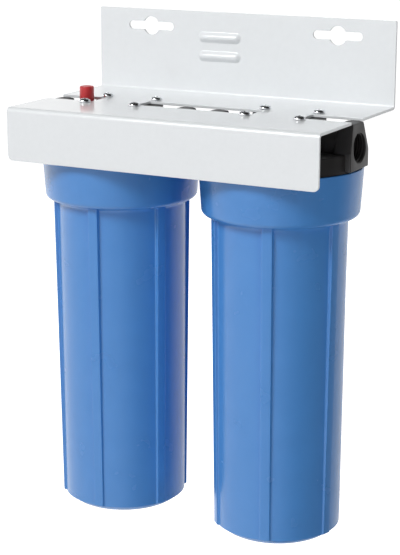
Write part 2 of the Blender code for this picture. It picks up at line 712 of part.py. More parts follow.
def rib_set(name, first, axis):
    # upright ribs with leaning sides, thinner towards the bottom; their roots are sunk in the wall
    neck = NECK_SHARE * (COLLAR_RADIUS - COLLAR_DRAFT - BODY_RADIUS)
    top = COLLAR_LOW - neck
    end = BOWL_BOTTOM + RIB_END
    bm = bmesh.new()
    for index in range(RIB_COUNT):
        turn = Matrix.Rotation(math.radians(first - 90) + math.tau * index / RIB_COUNT, 3, "Z")
        for vert in bmesh.ops.create_cube(bm, size=1)["verts"]:
            upper = vert.co.z > 0
            radius = BODY_RADIUS if upper else BODY_END_RADIUS
            proud = RIB_PROUD if upper else RIB_PROUD_END
            outer = vert.co.x > 0
            width = RIB_FACE if outer else RIB_BASE
            place = Vector((radius + proud if outer else radius - RIB_ROOT,
                            math.copysign(width / 2, vert.co.y), top if upper else end))
            vert.co = turn @ place
    return add_object(name, finish_mesh(name, bm), None, axis)


def make_bowl(word, rib_angle, axis, blue, rubber):
    bowl = turned(word + "_bowl", bowl_outline(), FINE, blue, axis)
    turns = THREAD_TURNS - BOWL_TURNS_SHORT
    ridge = helix_ridge(word + "_bowl_thread", COLLAR_BORE, SKIRT_RADIUS + THREAD_CLEARANCE,
                        HELIX_START + PITCH / 2, turns, axis)
    join(bowl, rib_set(word + "_ribs", rib_angle, axis), ridge)
    section = circle_outline(SEAL_RADIUS, GROOVE_FLOOR + GAP + SEAL_SECTION / 2, SEAL_SECTION, SEAL_SIDES)
    turned(word + "_bowl_seal", section, FINE, rubber, axis, ring=True)


# Cartridges

def make_sediment_cartridge(axis, fibre, plastic):
    top = HEAD_SEAT - GAP
    bottom = top - CARTRIDGE_LENGTH
    bore = CARTRIDGE_BORE / 2
    tube = tube_outline(bore, bore + CORE_WALL, top, bottom)
    core = turned("sediment_core", tube, MEDIUM, plastic, axis, ring=True)
    reach = bore + CORE_WALL + OVERRUN
    half = WINDOW_WIDTH / 2
    step = CARTRIDGE_LENGTH / WINDOW_ROWS
    for word, wide, deep in (("x", reach, half), ("y", half, reach)):
        rows = []
        for row in range(WINDOW_ROWS):
            low = top - step * (row + 0.5) - WINDOW_HEIGHT / 2
            rows.append(((-wide, -deep, low), (wide, deep, low + WINDOW_HEIGHT)))
        cut(core, blocks("core_windows_" + word, rows, axis))
    inner = bore + CORE_WALL + GAP
    outer = CARTRIDGE_RADIUS
    media = [(outer - MEDIA_EDGE, top), (outer, top - MEDIA_EDGE), (outer, bottom + MEDIA_EDGE),
             (outer - MEDIA_EDGE, bottom), (inner, bottom), (inner, top)]
    turned("sediment_media", media, MEDIUM, fibre, axis, ring=True)


def end_cap_outline(face, way):
    # cap with a recess for its gasket; way is 1 for the top cap and -1 for the bottom cap
    bore = CARTRIDGE_BORE / 2
    rim = CARTRIDGE_RADIUS + CAP_LIP
    shell = CARTRIDGE_RADIUS + GAP
    recess = bore + GASKET_WIDTH + GAP
    rim_face = face - way * GASKET_PROUD
    recess_floor = face - way * (GASKET_THICKNESS + GAP)
    plate = recess_floor - way * CAP_PLATE
    skirt_end = plate - way * CAP_SKIRT
    outline = [(rim, rim_face), (rim, skirt_end), (shell, skirt_end), (shell, plate), (bore, plate),
               (bore, recess_floor), (recess, recess_floor), (recess, rim_face)]
    return outline if way > 0 else outline[::-1]


def make_carbon_cartridge(axis, carbon, fibre, plastic, rubber):
    top = HEAD_SEAT - GAP
    bottom = top - CARTRIDGE_LENGTH
    bore = CARTRIDGE_BORE / 2
    for word, face, way in (("top", top, 1), ("bottom", bottom, -1)):
        turned(f"carbon_{word}_cap", end_cap_outline(face, way), MEDIUM, plastic, axis, ring=True)
        inner_face = face - way * GASKET_THICKNESS
        gasket = tube_outline(bore, bore + GASKET_WIDTH, max(face, inner_face), min(face, inner_face))
        turned(f"carbon_{word}_gasket", gasket, MEDIUM, rubber, axis, ring=True)
    end = GASKET_THICKNESS + GAP + CAP_PLATE + GAP
    wrap = CARTRIDGE_RADIUS - WRAP_THICKNESS
    block = tube_outline(bore, wrap - GAP, top - end, bottom + end)
    cover = tube_outline(wrap, CARTRIDGE_RADIUS, top - end, bottom + end)
    turned("carbon_block", block, MEDIUM, carbon, axis, ring=True)
    turned("carbon_wrap", cover, MEDIUM, fibre, axis, ring=True)


# Whole filter

def make_filter():
    white_steel = new_material("powder_coated_steel", (0.80, 0.83, 0.85), 0.28, 0)
    black_plastic = new_material("black_plastic", (0.020, 0.019, 0.020), 0.45, 0)
    blue_plastic = new_material("blue_plastic", (0.098, 0.30, 0.66), 0.32, 0)
    red_plastic = new_material("red_plastic", (0.50, 0.02, 0.03), 0.35, 0)
    plated_steel = new_material("plated_steel", (0.75, 0.76, 0.78), 0.15, 1)
    dark_rubber = new_material("dark_rubber", (0.015, 0.015, 0.015), 0.8, 0)
    pale_fibre = new_material("pale_fibre", (0.82, 0.82, 0.79), 0.95, 0)
    pale_plastic = new_material("pale_plastic", (0.70, 0.71, 0.70), 0.5, 0)
    pressed_carbon = new_material("pressed_carbon", (0.012, 0.012, 0.013), 0.9, 0)

    make_bracket(white_steel)
    make_nipple(black_plastic)
    make_screws(plated_steel)
    axes = {}
    for word, side, rib_angle in SIDES:
        axis = bpy.data.objects.new(word + "_axis", None)
        parts.objects.link(axis)
        axis.location = (side * HEAD_X, HEAD_Y, HEAD_TOP)
        axes[word] = axis
        head = make_head("inlet_head" if side < 0 else "outlet_head", word, axis, black_plastic)
        if side < 0:
            join(head, button_boss(axis))
            cut(head, *button_bores(axis))
        cut(head, *water_ways(word, axis), *hub_cuts(word, axis))
        make_bowl(word, rib_angle, axis, blue_plastic, dark_rubber)
    make_button(axes["left"], red_plastic, dark_rubber, plated_steel)
    make_sediment_cartridge(axes["left"], pale_fibre, pale_plastic)
    make_carbon_cartridge(axes["right"], pressed_carbon, pale_fibre, pale_plastic, dark_rubber)
    for obj in parts.objects:
        if obj.type == "MESH" and not obj.modifiers:
            smooth(obj)


clear_scene()
parts = new_collection("water_filter")
tools = new_collection("cutters")
make_filter()
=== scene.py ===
# Looks of a wall-hung two-stage water filter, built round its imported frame.
# Metres, Z up, the wall's face is Y = 0. Dictionary values are millimetres unless a note says otherwise.
import json
import math
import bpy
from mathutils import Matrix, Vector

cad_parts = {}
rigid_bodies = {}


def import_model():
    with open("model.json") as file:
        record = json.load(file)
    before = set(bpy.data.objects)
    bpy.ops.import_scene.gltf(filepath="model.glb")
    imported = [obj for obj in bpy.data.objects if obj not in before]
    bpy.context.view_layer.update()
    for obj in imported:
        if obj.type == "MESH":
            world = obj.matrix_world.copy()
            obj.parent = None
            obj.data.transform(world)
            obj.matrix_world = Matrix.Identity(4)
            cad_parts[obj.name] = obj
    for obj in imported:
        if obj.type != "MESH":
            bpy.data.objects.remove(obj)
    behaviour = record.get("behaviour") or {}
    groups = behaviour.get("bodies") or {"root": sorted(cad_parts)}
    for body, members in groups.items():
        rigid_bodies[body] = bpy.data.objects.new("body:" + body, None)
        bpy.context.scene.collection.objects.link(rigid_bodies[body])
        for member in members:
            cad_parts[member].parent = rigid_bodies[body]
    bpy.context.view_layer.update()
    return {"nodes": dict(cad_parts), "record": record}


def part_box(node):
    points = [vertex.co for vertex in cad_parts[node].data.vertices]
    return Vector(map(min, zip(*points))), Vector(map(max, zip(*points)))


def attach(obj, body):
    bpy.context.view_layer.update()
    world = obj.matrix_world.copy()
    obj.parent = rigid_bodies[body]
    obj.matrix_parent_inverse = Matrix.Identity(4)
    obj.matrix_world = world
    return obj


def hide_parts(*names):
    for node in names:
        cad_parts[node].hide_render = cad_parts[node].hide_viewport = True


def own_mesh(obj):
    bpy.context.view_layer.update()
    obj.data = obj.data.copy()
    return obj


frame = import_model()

from types import SimpleNamespace

import bmesh
import bpy
import numpy as np
from mathutils import Matrix, Vector, geometry

mm = 0.001
weld = 0.002             # points closer than this are one point
fineWeld = weld / 10     # the same after an exact boolean
smoothAngle = 35         # degrees, sharper edges stay crisp
quarterTurn, halfTurn, fullTurn = np.pi / 2, np.pi, 2 * np.pi
print("frame loaded:", len(frame["nodes"]), "nodes")


def addObject(name, data):
    made = bpy.data.objects.new(name, data)
    bpy.context.scene.collection.objects.link(made)
    return made


# camera, placed as the photo was taken, framed 400 x 555 px
camera = dict(
    place=(0.541264, -1.072985, 0.124445),    # metres
    tilt=75.381, turn=28.277,                 # degrees
    lens=104.77, sensor=36, reach=100)        # the reach in metres

cameraData = bpy.data.cameras.new("camera")
cameraData.lens = camera["lens"]
cameraData.sensor_width = camera["sensor"]
cameraData.clip_end = camera["reach"]
cameraObject = addObject("camera", cameraData)
cameraObject.location = camera["place"]
cameraObject.rotation_euler = (math.radians(camera["tilt"]), 0, math.radians(camera["turn"]))
bpy.context.scene.camera = cameraObject
bpy.context.scene.view_settings.view_transform = "Standard"


# shape helpers, all in millimetres

def named(values):
    # a dictionary's values, read as size.name
    return SimpleNamespace(**values)


def unit(vectors):
    # each vector divided by its length
    return vectors / np.linalg.norm(vectors, axis=-1, keepdims=True)


def onCircle(angles):
    return np.stack([np.cos(angles), np.sin(angles)], -1)


def turnedPoints(radius, height, angles):
    # x = r cos a, y = r sin a, z = height
    radius, height, angles = np.broadcast_arrays(radius, height, angles)
    return np.stack([radius * np.cos(angles), radius * np.sin(angles), height], -1)


def roundedPath(corners, steps=6, closed=False):
    # corners are (across, up, fillet radius); a fillet is the arc that touches both sides of its corner
    points = np.array([corner[:2] for corner in corners], float)
    count = len(points)
    path = []
    for k, corner in enumerate(corners):
        radius = corner[2] if len(corner) > 2 else 0
        inner = closed or 0 < k < count - 1
        if not radius or not inner:
            path.append(points[k][None])
            continue
        before = unit(points[k - 1] - points[k])
        after = unit(points[(k + 1) % count] - points[k])
        half = math.acos(np.clip(before @ after, -1, 1)) / 2
        centre = points[k] + unit(before + after) * radius / math.sin(half)
        ends = points[k] + np.stack([before, after]) * radius / math.tan(half) - centre
        start, stop = np.arctan2(ends[:, 1], ends[:, 0])
        sweep = (stop - start + halfTurn) % fullTurn - halfTurn
        path.append(centre + radius * onCircle(start + sweep * np.linspace(0, 1, steps)))
    return np.concatenate(path)


def gridFaces(rows, columns, wrapRows=False):
    # cells between neighbouring points; columns close on themselves
    i = np.arange(rows if wrapRows else rows - 1)[:, None]
    j = np.arange(columns)[None, :]
    below = (i + 1) % rows
    right = (j + 1) % columns
    return np.stack([i * columns + j, i * columns + right, below * columns + right, below * columns + j],
                    -1).reshape(-1, 4)


def turnedGrid(path, columns=96, angles=None, offset=0.0):
    # radius and height turned about Z; the offset, a share of a column, keeps edges of two shapes apart
    if angles is None:
        angles = (np.arange(columns) + offset) * fullTurn / columns
    path = np.asarray(path, float)
    return turnedPoints(path[:, :1], path[:, 1:], angles).reshape(-1, 3), gridFaces(len(path), len(angles))


def insetOutline(outline, insets):
    # a closed outline moved inwards along its own normals, once for each inset
    side = np.roll(outline, -1, 0) - np.roll(outline, 1, 0)
    normal = unit(np.stack([-side[:, 1], side[:, 0]], 1))
    area = np.sum(outline[:, 0] * np.roll(outline[:, 1], -1) - outline[:, 1] * np.roll(outline[:, 0], -1))
    return outline[None] + np.asarray(insets, float)[:, None, None] * normal[None] * np.sign(area)


def stackedLoops(loops, heights):
    # outlines laid over each other up Z; both ends close on their middle
    heights = np.asarray(heights, float)
    points = np.concatenate([loops, np.broadcast_to(heights[:, None, None], (*loops.shape[:2], 1))], -1)
    ends = [np.broadcast_to(points[k].mean(0), (1, *points.shape[1:])) for k in (0, -1)]
    points = np.concatenate([ends[0], points, ends[1]])
    return points.reshape(-1, 3), gridFaces(len(heights) + 2, loops.shape[1])


def stackedGrid(outline, levels):
    # one outline carried up Z; levels are (height, inset)
    levels = np.array(levels, float)
    return stackedLoops(insetOutline(outline, levels[:, 1]), levels[:, 0])


def roundedEnds(low, high, edge, steps=4):
    # levels of a block whose two ends are rounded: inset = edge (1 - sin a), rise = edge (1 - cos a)
    angles = np.linspace(0, quarterTurn, steps)
    inset = edge * (1 - np.sin(angles))
    rise = edge * (1 - np.cos(angles))
    bottom = np.stack([low + rise, inset], 1)
    top = np.stack([high - rise, inset], 1)[::-1]
    return np.concatenate([bottom, top])


def threadGrid(wall, form):
    # a ridge section wound up a right-handed helix: z = start + pitch a / 2 pi; the crest grows out of the
    # wall over the first lead of a turn and sinks back over the last
    form = named(form)
    count = round(form.perTurn * form.turns) + 1
    angles = np.linspace(0, fullTurn * form.turns, count)[:, None]
    rise = np.clip(np.minimum(angles, angles[::-1]) / (fullTurn * form.lead), form.leastRise, 1)
    foot = np.full_like(angles, wall - form.sink if form.crest > wall else wall + form.sink)
    outer = wall + (form.crest - wall) * rise
    section = np.array([[form.base, form.top, -form.top, -form.base]]) / 2
    points = turnedPoints(np.concatenate([foot, outer, outer, foot], 1),
                          form.start + section + form.pitch * angles / fullTurn, angles)
    caps = np.arange(4) + np.array([[0], [4 * (count - 1)]])
    return points.reshape(-1, 3), np.concatenate([gridFaces(count, 4), caps])


def alongX(part, shift=(0, 0, 0)):
    # Z of the shape becomes X, X becomes Y and Y becomes Z
    points, faces = part
    return points[:, [2, 0, 1]] + shift, faces


def moved(part, shift):
    points, faces = part
    return points + shift, faces


def cleaned(mesh, reach):
    # points within reach become one, slivers go, faces turn outwards
    bm = bmesh.new()
    bm.from_mesh(mesh)
    bmesh.ops.remove_doubles(bm, verts=bm.verts, dist=reach * mm)
    bmesh.ops.dissolve_degenerate(bm, edges=bm.edges, dist=reach * mm)
    bmesh.ops.recalc_face_normals(bm, faces=bm.faces)
    bm.to_mesh(mesh)
    bm.free()
    return mesh


def makeMesh(*parts):
    # all parts in one mesh
    offsets = np.cumsum([0] + [len(points) for points, _ in parts[:-1]])
    points = np.concatenate([points for points, _ in parts])
    faces = np.concatenate([faces + offset for (_, faces), offset in zip(parts, offsets)])
    mesh = bpy.data.meshes.new("shape")
    mesh.from_pydata((points * mm).tolist(), [], faces.tolist())
    return cleaned(mesh, weld)


def combine(mesh, *steps):
    # exact unions and cuts, one after the other, cleaned after each
    for operation, shape in steps:
        helpers = [addObject("helper", data) for data in (mesh, shape)]
        modifier = helpers[0].modifiers.new("join", "BOOLEAN")
        modifier.operation = operation
        modifier.solver = "EXACT"
        modifier.object = helpers[1]
        bpy.context.view_layer.update()
        graph = bpy.context.evaluated_depsgraph_get()
        mesh = cleaned(bpy.data.meshes.new_from_object(helpers[0].evaluated_get(graph)), fineWeld)
        for helper in helpers:
            bpy.data.objects.remove(helper)
    return mesh


def placeMesh(mesh, place, turn=Matrix.Identity(4)):
    # turned about the origin, then moved
    mesh.transform(Matrix.Translation(Vector(place.tolist()) * mm) @ turn)
    return mesh


def addPiece(name, mesh, body, slot, *nodes):
    # a finished piece rides on its body and stands for its CAD nodes
    mesh.name = name
    mesh.materials.clear()
    mesh.materials.append(finishes[slot])
    mesh.shade_smooth()
    mesh.set_sharp_from_angle(angle=math.radians(smoothAngle))
    piece = addObject(name, mesh)
    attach(piece, body)
    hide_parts(*nodes)
    return piece


# shader helpers

def addNode(tree, kind, values=None, **settings):
    # values name or number input sockets; a socket as value makes a link
    node = tree.nodes.new(kind)
    for key, value in settings.items():
        setattr(node, key, value)
    for socket, value in (values or {}).items():
        if isinstance(value, bpy.types.NodeSocket):
            tree.links.new(value, node.inputs[socket])
        else:
            node.inputs[socket].default_value = value
    return node


def newGroup(name, outputs, *inputs):
    # an effect takes a vector and named numbers, and gives numbers
    group = bpy.data.node_groups.new(name, "ShaderNodeTree")
    group.interface.new_socket("Vector", in_out="INPUT", socket_type="NodeSocketVector")
    for way, labels in (("INPUT", inputs), ("OUTPUT", outputs)):
        for label in labels:
            group.interface.new_socket(label, in_out=way, socket_type="NodeSocketFloat")
    return group, group.nodes.new("NodeGroupInput").outputs, group.nodes.new("NodeGroupOutput").inputs


def placeGroup(tree, group, where, **numbers):
    return addNode(tree, "ShaderNodeGroup", {"Vector": where, **numbers}, node_tree=group).outputs


def addMath(tree, operation, first, second=0.0):
    return addNode(tree, "ShaderNodeMath", {0: first, 1: second}, operation=operation).outputs[0]


def addShare(tree, value, mask, amount):
    # value + mask amount
    return addMath(tree, "ADD", value, addMath(tree, "MULTIPLY", mask, amount))


def addVector(tree, operation, first, second=(0, 0, 0)):
    return addNode(tree, "ShaderNodeVectorMath", {0: first, 1: second}, operation=operation).outputs


def addNoise(tree, where, scale, detail, roughness=0.5, distortion=0.0):
    values = {"Vector": where, "Scale": scale, "Detail": detail, "Roughness": roughness,
              "Distortion": distortion}
    return addNode(tree, "ShaderNodeTexNoise", values).outputs["Fac"]


def remap(tree, value, low, high, toLow=0.0, toHigh=1.0):
    return addNode(tree, "ShaderNodeMapRange", {"Value": value, "From Min": low, "From Max": high,
                                                "To Min": toLow, "To Max": toHigh}).outputs["Result"]


def blendColours(tree, factor, first, second):
    # the mix node's colours are inputs 6 and 7 and its third output; either may be a socket
    colours = [c if isinstance(c, bpy.types.NodeSocket) else (*c, 1) for c in (first, second)]
    values = {"Factor": factor, 6: colours[0], 7: colours[1]}
    return addNode(tree, "ShaderNodeMix", values, data_type="RGBA").outputs[2]


# effects; scales are per metre, spans are the values of a noise between which an effect grows
effects = dict(
    toneSpan=(0.3, 0.7), grainDetail=(2, 3), grainRoughness=0.55,
    scratchPull=(1, 1, 0.12), scratchWidth=0.008, scratchPatches=48, scratchSpread=0.58,
    scratchGloss=0.08, scratchDepth=0.15,
    dustColour=(0.55, 0.54, 0.52), dustGloss=0.3, dustFacing=(0.35, 1.0), dustScale=140,
    dustDetail=4, dustSpan=(0.38, 0.72),
    strandPulls=((1, 1, 0.08), (0.1, 1, 0.45), (1, 0.1, 0.3)), strandDetail=3, strandTwist=0.6)
effects = named(effects)


def surfaceGrain():
    # two noises of different size: height for a bump, tone for slow drifts in colour and gloss
    group, entry, close = newGroup("surface grain", ["Height", "Tone"], "fine", "share", "broad")
    where, share = entry["Vector"], entry["share"]
    fine = addNoise(group, where, entry["fine"], effects.grainDetail[0], effects.grainRoughness)
    broad = addNoise(group, where, entry["broad"], effects.grainDetail[1])
    swell = addMath(group, "MULTIPLY", broad, addMath(group, "SUBTRACT", 1.0, share))
    group.links.new(addShare(group, swell, fine, share), close["Height"])
    group.links.new(broad, close["Tone"])
    return group


def fineScratches():
    # hairlines: edges of long stretched cells, kept where a slow noise is high
    group, entry, close = newGroup("fine scratches", ["Mask"], "scale")
    where = entry["Vector"]
    long = addVector(group, "MULTIPLY", where, effects.scratchPull)[0]
    cells = addNode(group, "ShaderNodeTexVoronoi", {"Vector": long, "Scale": entry["scale"]},
                    feature="DISTANCE_TO_EDGE")
    line = addMath(group, "LESS_THAN", cells.outputs["Distance"], effects.scratchWidth)
    kept = addMath(group, "GREATER_THAN", addNoise(group, where, effects.scratchPatches, 1),
                   effects.scratchSpread)
    group.links.new(addMath(group, "MULTIPLY", line, kept), close["Mask"])
    return group


def settledDust():
    # a thin film on faces that look up, broken by noise
    group, entry, close = newGroup("settled dust", ["Mask"], "amount")
    normal = addNode(group, "ShaderNodeNewGeometry").outputs["Normal"]
    up = addNode(group, "ShaderNodeSeparateXYZ", {0: normal}).outputs["Z"]
    noise = addNoise(group, entry["Vector"], effects.dustScale, effects.dustDetail)
    film = addMath(group, "MULTIPLY", remap(group, up, *effects.dustFacing),
                   remap(group, noise, *effects.dustSpan))
    group.links.new(addMath(group, "MULTIPLY", film, entry["amount"]), close["Mask"])
    return group


def spunFibre():
    # three noises pulled long in different directions lie over each other as strands
    group, entry, close = newGroup("spun fibre", ["Height"], "scale")
    heights = []
    for pull in effects.strandPulls:
        long = addVector(group, "MULTIPLY", entry["Vector"], pull)[0]
        heights.append(addNoise(group, long, entry["scale"], effects.strandDetail,
                                distortion=effects.strandTwist))
    top = addMath(group, "MAXIMUM", addMath(group, "MAXIMUM", heights[0], heights[1]), heights[2])
    group.links.new(top, close["Height"])
    return group


grainGroup = surfaceGrain()
scratchGroup = fineScratches()
dustGroup = settledDust()
fibreGroup = spunFibre()


def startMaterial(name):
    # a material with its shader and object coordinates
    material = bpy.data.materials.new(name)
    material.use_nodes = True
    tree = material.node_tree
    where = addNode(tree, "ShaderNodeTexCoord").outputs["Object"]
    return material, tree, tree.nodes["Principled BSDF"], where


# materials by slot; colours are linear, roughness runs from the first to the second value, grain is fine
# scale, fine share and broad scale, relief is in millimetres, scratches and strands are scales
looks = dict(
    powder_coat=dict(
        colour=(0.83, 0.855, 0.872), otherColour=(0.815, 0.84, 0.857), roughness=(0.30, 0.36),
        grain=(900, 0.35, 260), relief=0.006, coat=0.7, coatRoughness=0.12, dust=0.02),
    black_plastic=dict(
        colour=(0.016, 0.015, 0.015), otherColour=(0.022, 0.020, 0.020), roughness=(0.36, 0.48),
        grain=(3200, 0.7, 120), relief=0.02, scratches=60, dust=0.03),
    blue_plastic=dict(
        colour=(0.070, 0.270, 0.670), otherColour=(0.066, 0.258, 0.645), roughness=(0.21, 0.28),
        grain=(1500, 0.25, 45), relief=0.0015, specular=0.55),
    red_plastic=dict(
        colour=(0.56, 0.026, 0.032), otherColour=(0.50, 0.021, 0.027), roughness=(0.28, 0.38),
        grain=(2500, 0.6, 300), relief=0.01, dust=0.03),
    plated_screws=dict(
        colour=(0.70, 0.71, 0.73), otherColour=(0.60, 0.61, 0.63), roughness=(0.08, 0.16),
        grain=(2600, 0.5, 500), relief=0.006, metallic=1.0, scratches=300),
    spring_steel=dict(
        colour=(0.56, 0.56, 0.57), otherColour=(0.46, 0.46, 0.47), roughness=(0.28, 0.4),
        grain=(4000, 0.6, 700), relief=0.006, metallic=1.0, scratches=300),
    seal_rubber=dict(
        colour=(0.014, 0.014, 0.015), otherColour=(0.022, 0.022, 0.023), roughness=(0.35, 0.6),
        grain=(3500, 0.6, 250), relief=0.02),
    filter_fibre=dict(
        colour=(0.84, 0.84, 0.81), otherColour=(0.76, 0.76, 0.72), roughness=(0.88, 0.98),
        grain=(1800, 0.5, 160), relief=0.35, strands=700),
    pale_plastic=dict(
        colour=(0.70, 0.71, 0.70), otherColour=(0.66, 0.67, 0.65), roughness=(0.42, 0.52),
        grain=(2200, 0.5, 90), relief=0.02),
    pressed_carbon=dict(
        colour=(0.011, 0.011, 0.012), otherColour=(0.03, 0.03, 0.032), roughness=(0.8, 0.95),
        grain=(2400, 0.75, 420), relief=0.25))


def makeFinish(name, look):
    # colour drifts between two tones, gloss varies with it, hairlines and dust lie over both
    material, tree, shader, where = startMaterial(name)
    fine, share, broad = look["grain"]
    grain = placeGroup(tree, grainGroup, where, fine=fine, share=share, broad=broad)
    height, tone = grain["Height"], grain["Tone"]
    if "strands" in look:
        height = placeGroup(tree, fibreGroup, where, scale=look["strands"])["Height"]
    colour = blendColours(tree, remap(tree, tone, *effects.toneSpan), look["colour"], look["otherColour"])
    rough = remap(tree, tone, *effects.toneSpan, *look["roughness"])
    if "dust" in look:
        dust = placeGroup(tree, dustGroup, where, amount=look["dust"])["Mask"]
        colour = blendColours(tree, dust, colour, effects.dustColour)
        rough = addShare(tree, rough, dust, effects.dustGloss)
    if "scratches" in look:
        marks = placeGroup(tree, scratchGroup, where, scale=look["scratches"])["Mask"]
        rough = addShare(tree, rough, marks, effects.scratchGloss)
        height = addShare(tree, height, marks, -effects.scratchDepth)
    bump = addNode(tree, "ShaderNodeBump", {"Height": height, "Distance": look["relief"] * mm})
    for socket, source in (("Base Color", colour), ("Roughness", rough), ("Normal", bump.outputs["Normal"])):
        tree.links.new(source, shader.inputs[socket])
    for socket, key, plain in (("Metallic", "metallic", 0.0), ("Specular IOR Level", "specular", 0.5),
                               ("Coat Weight", "coat", 0.0), ("Coat Roughness", "coatRoughness", 0.05)):
        shader.inputs[socket].default_value = look.get(key, plain)
    return material


finishes = {slot: makeFinish(slot, look) for slot, look in looks.items()}
print("materials:", len(finishes))


def packedBox(node):
    # a CAD node's lowest and highest point
    return [np.array(point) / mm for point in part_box(node)]


# the two heads, the middle of each head's top, and its screws from there
heads = dict(left="inlet_head", right="outlet_head")
headTop = -50.7
axes = {side: sum(packedBox(side + "_bowl")) / 2 * (1, 1, 0) + (0, 0, headTop) for side in heads}
screwPlaces = [(x, y) for x in (-20.8, 20.8) for y in (-16.1, 16.1)]

# bracket: one sheet cut flat, then folded; lengths along the sheet's middle, between its bends
bracket = dict(
    sheet=2.0, bend=2.5, half=122.0, top=12.6, back=59.5, shelf=124.3, flange=35.0,
    topCorner=1.2, flangeCorner=4.0, keyholeX=77.0, keyholeRadius=6.75, slotHalf=19.25,
    slotRadius=3.0, headY=-68.0, headX=65.0, cutHalf=10.05, middleEnd=46.0, notchStart=84.0,
    cutCorner=1.2, screwHole=2.3, holeSides=36,
    beadX=-18.3, beadHeights=(-6.4, -20.4), beadLength=36.0, beadRadius=4.3, beadProud=2.5,
    beadStep=0.7, bendSteps=10, overrun=1.0, edge=0.32,
    flatAngle=0.2, edgeAngle=50)    # degrees: flatter joins go, sharper edges are rounded
bendLength = bracket["bend"] * quarterTurn


def shelfFlat(y):
    # distance down the flat sheet of a place on the shelf
    return bracket["back"] + bendLength - bracket["sheet"] / 2 - bracket["bend"] - y


def fold(flat):
    # the sheet bends twice through a quarter turn: back plate down, shelf forwards, flange down
    size = named(bracket)
    radius = size.bend
    down = flat[:, 1]
    first = np.clip((down - size.back) / radius, 0, quarterTurn)
    shelf = np.clip(down - size.back - bendLength, 0, size.shelf)
    second = np.clip((down - size.back - bendLength - size.shelf) / radius, 0, quarterTurn)
    front = np.maximum(down - size.back - 2 * bendLength - size.shelf, 0)
    y = -size.sheet / 2 - radius * (1 - np.cos(first)) - shelf - radius * np.sin(second)
    z = size.top - np.minimum(down, size.back) - radius * np.sin(first)
    z = z - radius * (1 - np.cos(second)) - front
    return np.stack([flat[:, 0], y, z], 1)


def sheetOutline():
    # the blank's edge, with the two end notches
    size = named(bracket)
    half, corner = size.half, size.cutCorner
    end = size.back + size.shelf + size.flange + 2 * bendLength
    rear, front = (shelfFlat(size.headY + way * size.cutHalf) for way in (1, -1))
    right = [(half, 0, size.topCorner), (half, rear, corner), (size.notchStart, rear, corner),
             (size.notchStart, front, corner), (half, front, corner), (half, end, size.flangeCorner)]
    left = [(-x, down, radius) for x, down, radius in right[::-1]]
    return roundedPath(right + left, 7, closed=True)


def middleCutout():
    # the slot between the heads
    size = named(bracket)
    centre = shelfFlat(size.headY)
    return roundedPath([(x * size.middleEnd, centre + y * size.cutHalf, size.cutCorner)
                        for x, y in ((1, 1), (1, -1), (-1, -1), (-1, 1))], closed=True)


def keyhole(side):
    # a round hole with a round-ended slot through it
    size = named(bracket)
    radius, small = size.keyholeRadius, size.slotRadius
    meet = math.asin(small / radius)
    upper = radius * onCircle(np.linspace(meet, halfTurn - meet, 18))
    end = small * onCircle(np.linspace(quarterTurn, 3 * quarterTurn, 12)) - (size.slotHalf - small, 0)
    return np.concatenate([upper, end, -upper, -end]) + (side * size.keyholeX, size.top)


def insideLoop(points, loop):
    # a point is inside when a level ray from it crosses the loop an odd number of times
    start, stop = loop[None], np.roll(loop, -1, 0)[None]
    x, y = points[:, None, 0], points[:, None, 1]
    spans = (start[..., 1] > y) != (stop[..., 1] > y)
    rise = np.where(spans, stop[..., 1] - start[..., 1], 1)
    cross = start[..., 0] + (y - start[..., 1]) * (stop[..., 0] - start[..., 0]) / rise
    return np.sum(spans & (x < cross), 1) % 2 == 1


def beadShare(flat):
    # the beads' height as a share: half a cosine wave of the distance to a bead's middle line
    size = named(bracket)
    share = np.zeros(len(flat))
    reach = size.beadLength / 2 - size.beadRadius
    for height in size.beadHeights:
        across = np.maximum(np.abs(flat[:, 0] - size.beadX) - reach, 0)
        distance = np.hypot(across, flat[:, 1] - (size.top - height))
        wave = 0.5 * (1 + np.cos(halfTurn * np.clip(distance / size.beadRadius, 0, 1)))
        share = np.maximum(share, wave)
    return share


def beadPoints():
    # an even field of points over each bead
    size = named(bracket)
    step = size.beadStep
    reachX, reachY = size.beadLength / 2 + step, size.beadRadius + step
    field = np.stack(np.meshgrid(np.arange(-reachX, reachX, step), np.arange(-reachY, reachY, step)), -1)
    return [field.reshape(-1, 2) + (size.beadX, size.top - height) for height in size.beadHeights]


